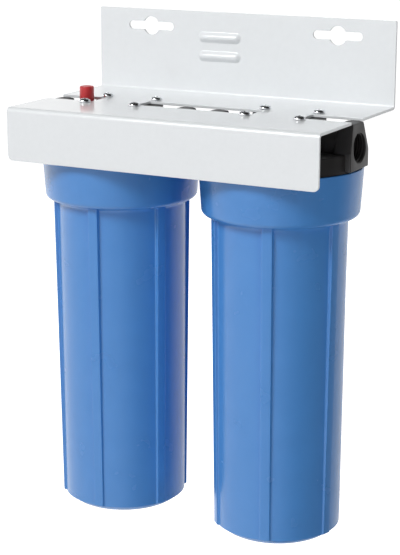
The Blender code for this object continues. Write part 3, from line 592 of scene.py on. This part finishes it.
def buildBracket():
    # outlines, bend lines and bead fields are joined into flat triangles, which are then folded
    size = named(bracket)
    loops = [sheetOutline(), middleCutout(), keyhole(-1), keyhole(1)]
    hole = size.screwHole * onCircle(np.arange(size.holeSides) * fullTurn / size.holeSides)
    loops += [hole + (side * size.headX + x, shelfFlat(size.headY + y))
              for side in (-1, 1) for x, y in screwPlaces]
    points = np.concatenate(loops)
    starts = np.cumsum([0] + [len(loop) for loop in loops[:-1]])
    edges = [np.stack([np.arange(len(loop)), np.roll(np.arange(len(loop)), -1)], 1) + start
             for loop, start in zip(loops, starts)]
    steps = np.linspace(0, bendLength, size.bendSteps + 1)
    lines = np.concatenate([size.back + steps, size.back + bendLength + size.shelf + steps])
    reach = size.half + size.overrun
    ends = np.stack([np.tile([-reach, reach], len(lines)), np.repeat(lines, 2)], 1)
    edges.append(np.arange(len(ends)).reshape(-1, 2) + len(points))
    points = np.concatenate([points, ends] + beadPoints())
    made = geometry.delaunay_2d_cdt([Vector(point) for point in points.tolist()],
                                    np.concatenate(edges).tolist(), [], 0, 1e-4)
    flat = np.array([tuple(point) for point in made[0]])
    faces = np.array(made[2])
    middle = flat[faces].mean(1)
    keep = insideLoop(middle, loops[0])
    for loop in loops[1:]:
        keep &= ~insideLoop(middle, loop)
    used, place = np.unique(faces[keep], return_inverse=True)
    flat = flat[used]
    solid = fold(flat)
    solid[:, 1] -= size.beadProud * beadShare(flat)
    mesh = makeMesh((solid, place.reshape(-1, 3)))
    bm = bmesh.new()
    bm.from_mesh(mesh)
    bmesh.ops.dissolve_limit(bm, angle_limit=math.radians(size.flatAngle), verts=bm.verts, edges=bm.edges)
    bm.to_mesh(mesh)
    bm.free()
    piece = addPiece("bracket_sheet", mesh, "frame", "powder_coat", "wall_bracket")
    wall = piece.modifiers.new("sheet", "SOLIDIFY")
    wall.thickness = size.sheet * mm
    wall.offset = 0
    soft = piece.modifiers.new("edge", "BEVEL")
    soft.width = size.edge * mm
    soft.segments = 3
    soft.limit_method = "ANGLE"
    soft.angle_limit = math.radians(size.edgeAngle)
    soft.use_clamp_overlap = False
    piece.modifiers.new("even", "WEIGHTED_NORMAL").keep_sharp = False


buildBracket()
print("bracket built")


# heads: turned hub, rim and threaded skirt, a port block at each end; heights are from the head's top
head = dict(
    hub=31.0, hubEdge=0.7, deck=-19.7, deckFillet=1.2, rim=57.0, rimLow=-32.3, rimEdge=1.0,
    rimFillet=0.5, skirt=50.2, skirtLow=-58.7, skirtBore=45.6, skirtEdge=0.8, roof=-29.7,
    roofFillet=1.5, seat=17.0, seatLow=-37.7, seatFillet=1.0, seatEdge=0.4, nose=12.9,
    noseLow=-45.7, noseEdge=1.5, columns=192,
    tube=13.0, axisZ=-16.2, portFace=58.9, blockDepth=12.9, blockHalf=15.6, blockTop=9.35,
    blockRise=0.9, blockFoot=-31.2, shoulder=12.4, blockCorner=1.6, footCorner=0.6, blockEdge=0.6,
    blockRows=8, crown=0.9, crownFade=8, lean=1.6, leanStart=-16.0,
    port=10.2, portDepth=16.0, portMouth=11.0, portLead=0.8, portSides=72, passage=7.5,
    inletEnd=-20.0, dropX=-24.5, drop=5.0, rise=8.0,
    pocketHalf=9.0, pocketStart=11.0, pocketEnd=25.0, pocketDepth=9.0, pocketCorner=1.5,
    stepStart=-23.5, stepHalf=11.85, stepDepth=4.5, stepCorner=0.8,
    screwBore=2.3, screwDepth=14.0,
    bossX=-29.0, boss=9.0, bossTop=-0.5, bossEdge=0.6, well=5.9, wellDepth=6.0, valve=4.4,
    valveTop=-8.9, stem=2.3, overrun=2.0,
    bodyOffset=0.37, portOffset=0.41)    # shares of a column
thread = dict(crest=52.6, start=-56.2, turns=3.0, pitch=6.0, base=2.6, top=1.6, sink=0.6, perTurn=96,
              lead=0.12, leastRise=0.02)    # turns of run-out, and the share of height left at its very end
portThread = dict(crest=9.35, start=43.7136, turns=7.6, pitch=1.814, base=1.5, top=0.25, sink=0.4, perTurn=72,
                  lead=0.3, leastRise=0.02)


def headBody():
    size = named(head)
    return turnedGrid(roundedPath([
        (0, 0), (size.hub, 0, size.hubEdge), (size.hub, size.deck, size.deckFillet),
        (size.rim, size.deck, size.rimEdge), (size.rim, size.rimLow, size.rimFillet),
        (size.skirt, size.rimLow, size.rimFillet), (size.skirt, size.skirtLow, size.skirtEdge),
        (size.skirtBore, size.skirtLow, size.skirtEdge), (size.skirtBore, size.roof, size.roofFillet),
        (size.seat, size.roof, size.seatFillet), (size.seat, size.seatLow, size.seatEdge),
        (size.nose, size.seatLow, size.seatEdge), (size.nose, size.noseLow, size.noseEdge),
        (0, size.noseLow)]), size.columns, offset=size.bodyOffset)


def portBlock(side):
    # a rounded six-sided outline along X; the top is crowned by the square of the distance from its middle
    # and fades downwards by crownFade, and the face leans in towards the top
    size = named(head)
    shoulder = size.blockFoot + size.shoulder
    corner, half, top, rise = size.blockCorner, size.blockHalf, size.blockTop, size.blockRise
    outline = roundedPath([(half, size.blockFoot, size.footCorner), (half, shoulder, corner),
                           (top, rise, corner), (0, rise), (-top, rise, corner), (-half, shoulder, corner),
                           (-half, size.blockFoot, size.footCorner)], closed=True)
    inner = size.portFace - size.blockDepth
    low, high = sorted((side * inner, side * size.portFace))
    ends = roundedEnds(low, high, size.blockEdge)
    count = len(ends) // 2
    rows = np.linspace(low, high, size.blockRows)[1:-1]
    levels = np.concatenate([ends[:count], np.stack([rows, 0 * rows], 1), ends[count:]])
    points, faces = alongX(stackedGrid(outline, levels))
    up = np.clip((points[:, 2] - size.leanStart) / (rise - size.leanStart), 0, 1)
    along = (points[:, 0] - (low + high) / 2) / (size.blockDepth / 2)
    points[:, 0] -= side * size.lean * up ** 2 * np.maximum(side * along, 0)
    points[:, 2] -= size.crown * up ** size.crownFade * (along ** 2 + (points[:, 1] / half) ** 2) / 2
    return points, faces


def rod(radius, low, high, columns=48, offset=0.29):
    return turnedGrid([(0, high), (radius, high), (radius, low), (0, low)], columns, offset=offset)


def waterWay(side):
    # threaded port with a lead-in, then a narrower passage
    size = named(head)
    face = size.portFace
    outside, stop = face + size.overrun, face - size.portDepth
    end = -size.inletEnd if side < 0 else 0
    points, faces = turnedGrid([
        (0, outside), (size.portMouth, outside), (size.portMouth, face), (size.port, face - size.portLead),
        (size.port, stop), (size.passage, stop), (size.passage, end), (0, end)],
        size.portSides, offset=size.portOffset)
    return alongX((points * (1, 1, side), faces), (0, 0, size.axisZ))


def roundedBox(low, high, corner):
    # an upright box with rounded corners, from its lowest to its highest point
    outline = roundedPath([(low[0], low[1], corner), (high[0], low[1], corner), (high[0], high[1], corner),
                           (low[0], high[1], corner)], 5, closed=True)
    return stackedGrid(outline, [(low[2], 0), (high[2], 0)])


def headCuts():
    # ports, pockets in the top, the step beside the boss and the screws' bores
    size = named(head)
    over = size.overrun
    shapes = [waterWay(-1), waterWay(1)]
    for way in (-1, 1):
        near, far = sorted((way * size.pocketStart, way * size.pocketEnd))
        shapes.append(roundedBox((-size.pocketHalf, near, -size.pocketDepth), (size.pocketHalf, far, over),
                                 size.pocketCorner))
    shapes.append(roundedBox((-size.hub - over, -size.stepHalf, -size.stepDepth),
                             (size.stepStart, size.stepHalf, over), size.stepCorner))
    shapes += [moved(rod(size.screwBore, -size.screwDepth, over, 24), (x, y, 0))
               for x, y in screwPlaces]
    return makeMesh(*shapes)


def chamberWays():
    # the inlet's drop into the outer chamber and the outlet's rise from the centre
    size = named(head)
    drop = moved(rod(size.drop, size.roof - size.overrun, size.axisZ, 36), (size.dropX, 0, 0))
    return makeMesh(drop, rod(size.rise, size.noseLow - size.overrun, size.axisZ))


def buttonSeat():
    # the boss, then its well, stem bore and valve chamber in one turned cutter
    size = named(head)
    foot = size.deck - size.overrun
    boss = roundedPath([(0, size.bossTop), (size.boss, size.bossTop, size.bossEdge), (size.boss, foot),
                        (0, foot)])
    bores = [(0, size.overrun), (size.well, size.overrun), (size.well, -size.wellDepth),
             (size.stem, -size.wellDepth), (size.stem, size.valveTop), (size.valve, size.valveTop),
             (size.valve, size.axisZ), (0, size.axisZ)]
    return [makeMesh(moved(turnedGrid(path, columns), (size.bossX, 0, 0)))
            for path, columns in ((boss, 64), (bores, 48))]


def buildHead(side, word):
    size = named(head)
    reach = size.portFace - size.blockDepth / 2
    tube = makeMesh(alongX(rod(size.tube, -reach, reach, 72), (0, 0, size.axisZ)))
    ends = makeMesh(portBlock(-1), portBlock(1))
    ridge = makeMesh(threadGrid(size.skirt, thread))
    steps = [("UNION", tube), ("UNION", ends), ("UNION", ridge)]
    cuts = ("DIFFERENCE", headCuts())
    if side < 0:
        boss, bores = buttonSeat()
        steps += [("UNION", boss), cuts, ("DIFFERENCE", bores)]
    else:
        steps.append(cuts)
    points, faces = threadGrid(size.port, portThread)
    pipe = makeMesh(alongX((points * (side, 1, side), faces), (0, 0, size.axisZ)))
    steps += [("DIFFERENCE", chamberWays()), ("UNION", pipe)]
    mesh = placeMesh(combine(makeMesh(headBody()), *steps), axes[word])
    addPiece(word + "_head_body", mesh, "frame", "black_plastic", heads[word])


for side, word in ((-1, "left"), (1, "right")):
    buildHead(side, word)
print("heads built")


# bowls: a turned shell with upright ribs; heights are from the head's top
bowl = dict(
    collar=58.0, collarTop=-32.6, collarEdge=0.6, collarLow=56.0, neckLevel=-67.576, neck=4.176,
    body=47.3, bodyEnd=45.9, bottom=-302.6, corner=12.0, lip=1.5, bore=53.4, boreEdge=0.5,
    ledge=-59.6, ledgeEdge=0.5, groove=(45.5, 49.5), grooveFloor=-62.7, grooveEdge=0.3,
    wall=4.2, floor=-298.4, footSeat=17.0, footFlare=1.5, nose=12.9, noseTop=-278.3, noseEdge=1.5,
    seat=-286.3, seatEdge=0.4, centreBore=8.0,
    ribs=6, ribFace=3.5, ribBase=3.97, ribProud=2.9, ribProudEnd=1.6, ribEdge=0.5, ribFoot=1.2,
    ribEnd=-296.6, ribEndEdge=0.9, ribSpread=48.0, softness=0.25, ribTop=1.0, ribRow=2.0,
    ribMiddle=0.45,    # share of the rib's face
    bodyRows=14, cornerSteps=12, ribSteps=7, plainColumns=9)
ribAngles = dict(left=5.9, right=15.0)    # degrees from the front towards the right
bowlThread = dict(thread, crest=51.0, start=-53.2, turns=2.5)


def ribSection():
    # half of a rib's section as (distance from its middle, height share): flat face, rounded edge, soft foot
    size = named(bowl)
    path = roundedPath([(0, size.ribProud), (size.ribFace, size.ribProud, size.ribEdge),
                        (size.ribBase, 0, size.ribFoot), (size.ribSpread / 7, 0)], size.ribSteps)
    path = np.concatenate([path[:1], [[size.ribFace * size.ribMiddle, size.ribProud]], path[1:]])
    return path[:, 0], np.clip(path[:, 1] / size.ribProud, 0, 1)


def ribColumns(first):
    # column angles round the bowl and the rib's height share at each; plain columns fill the space between
    size = named(bowl)
    across, share = ribSection()
    offsets = np.concatenate([-across[:0:-1], across]) / size.ribSpread
    shares = np.concatenate([share[:0:-1], share])
    spacing = fullTurn / size.ribs
    plain = np.linspace(offsets[-1], spacing + offsets[0], size.plainColumns + 2)[1:-1]
    offsets = np.append(offsets, plain)
    shares = np.append(shares, np.zeros(len(plain)))
    turns = math.radians(first - 90) + spacing * np.arange(size.ribs)
    return (turns[:, None] + offsets[None]).ravel(), np.tile(shares, size.ribs)


def outerPath():
    # the outside of the bowl without ribs, from the collar's top to the flat base
    size = named(bowl)
    slope = (size.collar - size.collarLow) / (size.collarTop - size.neckLevel - size.neck)
    low = size.collarLow - slope * size.neck
    path = roundedPath([(size.bore, size.collarTop), (size.collar, size.collarTop, size.collarEdge),
                        (low, size.neckLevel, size.neck), (size.body, size.neckLevel, size.neck),
                        (size.bodyEnd, size.bottom, size.corner), (0, size.bottom)], size.cornerSteps)
    return path[1:-1]


def ribbedSide(first):
    # radius = plain radius + rise of the rib above it: zero below -k, (x + k)^2 / 4k up to k, then x
    size = named(bowl)
    angles, share = ribColumns(first)
    path = outerPath()
    straightTop, straightEnd = size.neckLevel - size.neck, size.bottom + size.corner
    extra = np.linspace(straightTop, straightEnd, size.bodyRows)[1:-1]
    ends = size.ribEnd + size.ribEndEdge * (1 - np.sin(np.linspace(0, quarterTurn, 6)))
    heights = np.concatenate([path[:, 1], extra, ends, [size.ribEnd + size.ribRow]])
    heights = np.unique(np.round(heights, 4))[::-1]
    above = heights >= size.ribEnd - weld
    heights = np.concatenate([heights[above], [size.ribEnd], heights[~above]])
    ribbed = np.arange(len(heights)) < np.sum(heights >= size.ribEnd - weld) - 1
    plain = np.interp(-heights, -path[:, 1], path[:, 0])
    down = np.clip((straightTop - heights) / (straightTop - straightEnd), 0, None)
    line = size.body + (size.bodyEnd - size.body) * down
    proud = size.ribProud + (size.ribProudEnd - size.ribProud) * np.minimum(down, 1)
    left = np.clip((heights - size.ribEnd) / size.ribEndEdge, 0, 1)
    rounding = size.ribEndEdge * (1 - np.sqrt(1 - (1 - left) ** 2))
    rise = (line - plain)[:, None] + (proud - rounding)[:, None] * share[None]
    soft = size.softness
    rise = np.where(rise < soft, np.maximum(rise + soft, 0) ** 2 / (4 * soft), rise)
    rise[~ribbed] = 0
    rise[heights > size.neckLevel + size.ribTop] = 0
    return turnedPoints(plain[:, None] + rise, heights[:, None], angles), angles


def bowlInside():
    # from the collar's inner edge down the bore, round the foot to the floor's middle
    size = named(bowl)
    inner, outer = size.groove
    edge = size.grooveEdge
    return roundedPath([
        (size.collar - size.lip, size.collarTop), (size.bore, size.collarTop, size.boreEdge),
        (size.bore, size.ledge, edge), (outer, size.ledge, edge), (outer, size.grooveFloor, edge),
        (inner, size.grooveFloor, edge), (inner, size.ledge, edge),
        (size.body - size.wall, size.ledge, size.ledgeEdge),
        (size.bodyEnd - size.wall, size.floor, size.corner - size.wall),
        (size.footSeat + size.footFlare, size.floor, size.noseEdge),
        (size.footSeat, size.seat, size.seatEdge), (size.nose, size.seat, size.seatEdge),
        (size.nose, size.noseTop, size.noseEdge), (size.centreBore, size.noseTop, size.seatEdge),
        (size.centreBore, size.floor, size.seatEdge), (0, size.floor)])


def buildBowl(word):
    outside, angles = ribbedSide(ribAngles[word])
    inside = bowlInside()[::-1]
    lining, base = (turnedGrid(path, angles=angles)[0].reshape(len(path), -1, 3)
                    for path in (inside, [(0, bowl["bottom"])]))
    rows = np.concatenate([lining, outside, base])
    shell = makeMesh((rows.reshape(-1, 3), gridFaces(len(rows), len(angles))))
    mesh = placeMesh(combine(shell, ("UNION", makeMesh(threadGrid(bowl["bore"], bowlThread)))), axes[word])
    addPiece(word + "_bowl_shell", mesh, word + "_bowl", "blue_plastic", word + "_bowl")


for word in heads:
    buildBowl(word)
print("bowls built")


# screws: pan heads with a cross recess that narrows downwards
screw = dict(
    head=4.25, height=2.6, skirt=0.35, skirtEdge=0.08, shank=2.0, length=13.93, point=1.5,
    recess=2.3, recessHalf=0.58, recessCorner=0.12, recessDepth=1.5, overrun=1.0, columns=72,
    power=2.4, recessTaper=0.5)    # the dome's exponent, and the recess outline's scale at its floor
screwTurns = (12, 48, -20, 71, 33, 5, 62, -9)    # degrees each screw was left at


def screwMesh():
    # dome height = skirt + rest (1 - (r / R)^p)^(1 / p)
    size = named(screw)
    share = np.sin(np.linspace(0, quarterTurn, 14))
    dome = size.skirt + (size.height - size.skirt) * (1 - share ** size.power) ** (1 / size.power)
    path = np.stack([share * size.head, dome], 1)
    shank = [(size.head, size.skirtEdge), (size.head - size.skirtEdge, 0), (size.shank, 0),
             (size.shank, size.point - size.length), (0, -size.length)]
    body = makeMesh(turnedGrid(np.concatenate([path, shank]), size.columns))
    arm, half = size.recess, size.recessHalf
    quarter = np.array([(half, half), (half, arm), (-half, arm)])
    cross = np.concatenate([quarter @ np.array([[c, s], [-s, c]])
                            for c, s in ((1, 0), (0, 1), (-1, 0), (0, -1))])
    outline = roundedPath([(x, y, size.recessCorner) for x, y in cross], 3, closed=True)
    cutter = stackedLoops(np.stack([outline * size.recessTaper, outline, outline]),
                          [size.height - size.recessDepth, size.height, size.height + size.overrun])
    return combine(body, ("DIFFERENCE", makeMesh(cutter)))


screwPattern = screwMesh()
for node, angle in zip([f"{word}_screw_{k}" for word in heads for k in range(1, 5)], screwTurns):
    low, high = packedBox(node)
    place = np.array([*(low + high)[:2] / 2, high[2] - screw["height"]])
    mesh = placeMesh(screwPattern.copy(), place, Matrix.Rotation(math.radians(angle), 4, "Z"))
    addPiece(node.replace("screw", "pan_screw"), mesh, "frame", "plated_screws", node)
print("screws built")


# vent button, its spring and the joining nipple
button = dict(
    radius=5.3, rise=11.5, entry=1.7, wall=1.0, crown=2.0, edge=0.9, dish=0.25, dishFillet=1.5,
    rimFillet=0.8, skirtEdge=0.2, innerFillet=0.5, stem=2.0, stemEdge=0.3, groove=0.5,
    clip=(2.6, 1.2),                  # the groove's sides above the stem's end
    dishShare=0.55, rimShare=0.72)    # of the radius
coil = dict(turns=6, radius=3.09, wire=0.45, sides=12, perTurn=40, travel=2.5,
            closedPitch=0.95, openPitch=3.0, places=(0, 1, 1.2, 4.8, 5, 6))    # turns where the pitch changes
nipple = dict(radius=9.9, half=20.1, bore=6.5, tubeEdge=0.8, boreEdge=0.5, flats=11.0, hexHalf=5.8,
              corner=1.0, edge=0.5, sides=72)


def buildButton():
    size = named(button)
    stemEnd = packedBox("release_button")[0][2] - headTop
    inner, core = size.radius - size.wall, size.stem - size.groove
    crown, dish = size.rise - size.crown, size.rise - size.dish
    clipTop, clipLow = (stemEnd + way for way in size.clip)
    path = roundedPath([(0, dish), (size.radius * size.dishShare, dish, size.dishFillet),
                        (size.radius * size.rimShare, size.rise, size.rimFillet),
                        (size.radius, size.rise, size.edge), (size.radius, -size.entry, size.skirtEdge),
                        (inner, -size.entry, size.skirtEdge), (inner, crown, size.innerFillet),
                        (size.stem, crown, size.innerFillet), (size.stem, clipTop), (core, clipTop),
                        (core, clipLow), (size.stem, clipLow), (size.stem, stemEnd, size.stemEdge),
                        (0, stemEnd)])
    place = axes["left"] + (head["bossX"], 0, 0)
    mesh = makeMesh(moved(turnedGrid(path, 72), place))
    addPiece("vent_button_cap", mesh, "release_button", "red_plastic", "release_button")


def buildCoil():
    # a round wire along a helix whose height is the running sum of its pitch;
    # ring = centre + wire (n cos b + m sin b)
    size = named(coil)
    low, high = (point[2] for point in packedBox("button_spring"))
    bottom, top = low + size.wire, high - size.wire
    turns = np.linspace(0, size.turns, size.turns * size.perTurn + 1)
    closed, opened = size.closedPitch, size.openPitch
    pitch = np.interp(turns, size.places, (closed, closed, opened, opened, closed, closed))
    rise = np.concatenate([[0], np.cumsum((pitch[1:] + pitch[:-1]) / 2)])
    middle = turnedPoints(size.radius, bottom + (top - bottom) * rise / rise[-1], turns * fullTurn)
    outwards = turnedPoints(1, 0, turns * fullTurn)
    across = np.cross(unit(np.gradient(middle, axis=0)), outwards)
    roundWire = np.arange(size.sides)[:, None] * fullTurn / size.sides
    ring = np.cos(roundWire) * outwards[:, None] + np.sin(roundWire) * across[:, None]
    rows = middle[:, None] + size.wire * ring
    ends = [np.broadcast_to(middle[k], (1, *rows.shape[1:])) for k in (0, -1)]
    rows = np.concatenate([ends[0], rows, ends[1]])
    place = axes["left"] * (1, 1, 0) + (head["bossX"], 0, 0)
    mesh = makeMesh((rows.reshape(-1, 3) + place, gridFaces(len(rows), size.sides)))
    piece = addPiece("vent_spring_coil", mesh, "release_button", "spring_steel", "button_spring")
    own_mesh(piece)


def buildNipple():
    # a plain tube with a hexagon round its middle, built upright and laid along X
    size = named(nipple)
    outer = [(size.radius, way * size.half, size.tubeEdge) for way in (-1, 1)]
    inner = [(size.bore, way * size.half, size.boreEdge) for way in (1, -1)]
    ring = roundedPath(outer + inner, 4, closed=True)
    tube = turnedGrid(ring, size.sides)[0], gridFaces(len(ring), size.sides, wrapRows=True)
    corners = size.flats / math.cos(fullTurn / 12) * onCircle((np.arange(6) + 0.5) * fullTurn / 6)
    hexagon = roundedPath([(x, y, size.corner) for x, y in corners], 5, closed=True)
    nut = makeMesh(stackedGrid(hexagon, roundedEnds(-size.hexHalf, size.hexHalf, size.edge)))
    bore = makeMesh(rod(size.bore, -size.half, size.half, size.sides))
    mesh = combine(nut, ("DIFFERENCE", bore), ("UNION", makeMesh(tube)))
    place = np.array([0, axes["left"][1], headTop + head["axisZ"]])
    placeMesh(mesh, place, Matrix(((0, 0, 1), (1, 0, 0), (0, 1, 0))).to_4x4())
    addPiece("nipple_body", mesh, "frame", "black_plastic", "joining_nipple")


buildButton()
buildCoil()
buildNipple()
print("button, spring and nipple built")


# CAD nodes that stay get their finish
for part in frame["record"]["subparts"]:
    obj = bpy.data.objects[part["node"]]
    if not obj.data.materials:
        obj.data.materials.append(None)
    for holder in obj.material_slots:
        holder.material = finishes[part["material_slot"]]


# studio, in metres: a soft key from the front left, a fill, a lamp behind, a top light, a floor far below
studio = dict(
    target=(0, -0.07, -0.15), floorZ=-0.80, floorSize=60.0, floorColour=(0.86, 0.86, 0.87),
    floorDrift=0.985, driftScale=3, driftDetail=3, floorRoughness=0.9, floorSpecular=0.1,
    floorGlow=(0.78, 1.0), glowReach=(0.8, 3.0),    # glow near and far, and the metres they hold at
    world=0.14, lamps=[
        # in addLamp's order; left of the front and up are degrees
        ("key", 24, 42, 3.0, 1.2, 0.9, 58, True),
        ("fill", -60, 8, 1.0, 0.6, 0.8, 1.7, False),
        ("rear", 152, 20, 3.0, 1.2, 1.2, 34, False),
        ("top", 10, 78, 1.8, 1.2, 1.0, 5, False)])
# what shiny surfaces see: a plain level, changed towards two sides and overhead. Each side has its way, the
# cosines between which the level changes, and the level there; overheadFrom are heights of a ray
room = dict(level=1.0, sides=[((-0.866, -0.5, 0), 0.0, 0.7, 1.6), ((0.996, -0.087, 0), 0.5, 0.9, 0.12)],
            overhead=0.08, overheadFrom=(0.25, 0.6))


def roomLevel():
    # the plain level times the change towards each side
    group, entry, close = newGroup("room level", ["Level"])
    way = addVector(group, "NORMALIZE", addVector(group, "MULTIPLY", entry["Vector"], (1, 1, 0))[0])[0]
    level = room["level"]
    for side, start, full, there in room["sides"]:
        turned = addVector(group, "DOT_PRODUCT", way, side)["Value"]
        level = addMath(group, "MULTIPLY", remap(group, turned, start, full, 1.0, there), level)
    group.links.new(level, close["Level"])
    return group


roomGroup = roomLevel()


def addLamp(name, left, up, distance, width, height, watts, mirrored):
    data = bpy.data.lights.new(name, "AREA")
    data.shape = "RECTANGLE"
    data.size = width
    data.size_y = height
    data.energy = watts
    lamp = addObject(name, data)
    lamp.visible_glossy = mirrored
    left, up = math.radians(left), math.radians(up)
    way = Vector((-math.sin(left) * math.cos(up), -math.cos(left) * math.cos(up), math.sin(up)))
    lamp.location = Vector(studio["target"]) + way * distance
    lamp.rotation_euler = way.to_track_quat("Z", "Y").to_euler()


def buildFloor():
    # it glows for the camera, so that it ends white, and shows shiny surfaces the room's level
    size = named(studio)
    half = size.floorSize / 2
    mesh = bpy.data.meshes.new("studio_floor")
    corners = ((-half, -half), (half, -half), (half, half), (-half, half))
    mesh.from_pydata([(x, y, size.floorZ) for x, y in corners], [], [(0, 1, 2, 3)])
    floor = addObject("studio_floor", mesh)
    material, tree, shader, where = startMaterial("studio_floor")
    tint = blendColours(tree, addNoise(tree, where, size.driftScale, size.driftDetail), size.floorColour,
                        [size.floorDrift * c for c in size.floorColour])
    path = addNode(tree, "ShaderNodeLightPath").outputs
    tree.links.new(blendColours(tree, path["Is Glossy Ray"], tint, (0, 0, 0)), shader.inputs["Base Color"])
    glow = remap(tree, addVector(tree, "LENGTH", where)["Value"], *size.glowReach, *size.floorGlow)
    seen = addMath(tree, "MULTIPLY", path["Is Camera Ray"], glow)
    level = placeGroup(tree, roomGroup, where)["Level"]
    tree.links.new(addShare(tree, seen, path["Is Glossy Ray"], level), shader.inputs["Emission Strength"])
    shader.inputs["Emission Color"].default_value = (1, 1, 1, 1)
    shader.inputs["Roughness"].default_value = size.floorRoughness
    shader.inputs["Specular IOR Level"].default_value = size.floorSpecular
    mesh.materials.append(material)


def buildWorld():
    # white to the camera, the room's level to shiny surfaces, a low even level to the rest
    world = bpy.data.worlds.new("studio")
    world.use_nodes = True
    bpy.context.scene.world = world
    tree = world.node_tree
    back = tree.nodes["Background"].inputs
    path = addNode(tree, "ShaderNodeLightPath").outputs
    where = addNode(tree, "ShaderNodeTexCoord").outputs["Generated"]
    up = addNode(tree, "ShaderNodeSeparateXYZ", {0: where}).outputs["Z"]
    level = placeGroup(tree, roomGroup, where)["Level"]
    height = remap(tree, up, *room["overheadFrom"], 1.0, room["overhead"])
    plain = addMath(tree, "SUBTRACT", 1.0, path["Is Glossy Ray"])
    glossy = addMath(tree, "MULTIPLY", addMath(tree, "MULTIPLY", level, height), path["Is Glossy Ray"])
    level = addMath(tree, "MAXIMUM", addShare(tree, glossy, plain, studio["world"]), path["Is Camera Ray"])
    tree.links.new(level, back["Strength"])
    back["Color"].default_value = (1, 1, 1, 1)


for lamp in studio["lamps"]:
    addLamp(*lamp)
buildFloor()
buildWorld()
print("studio lit")
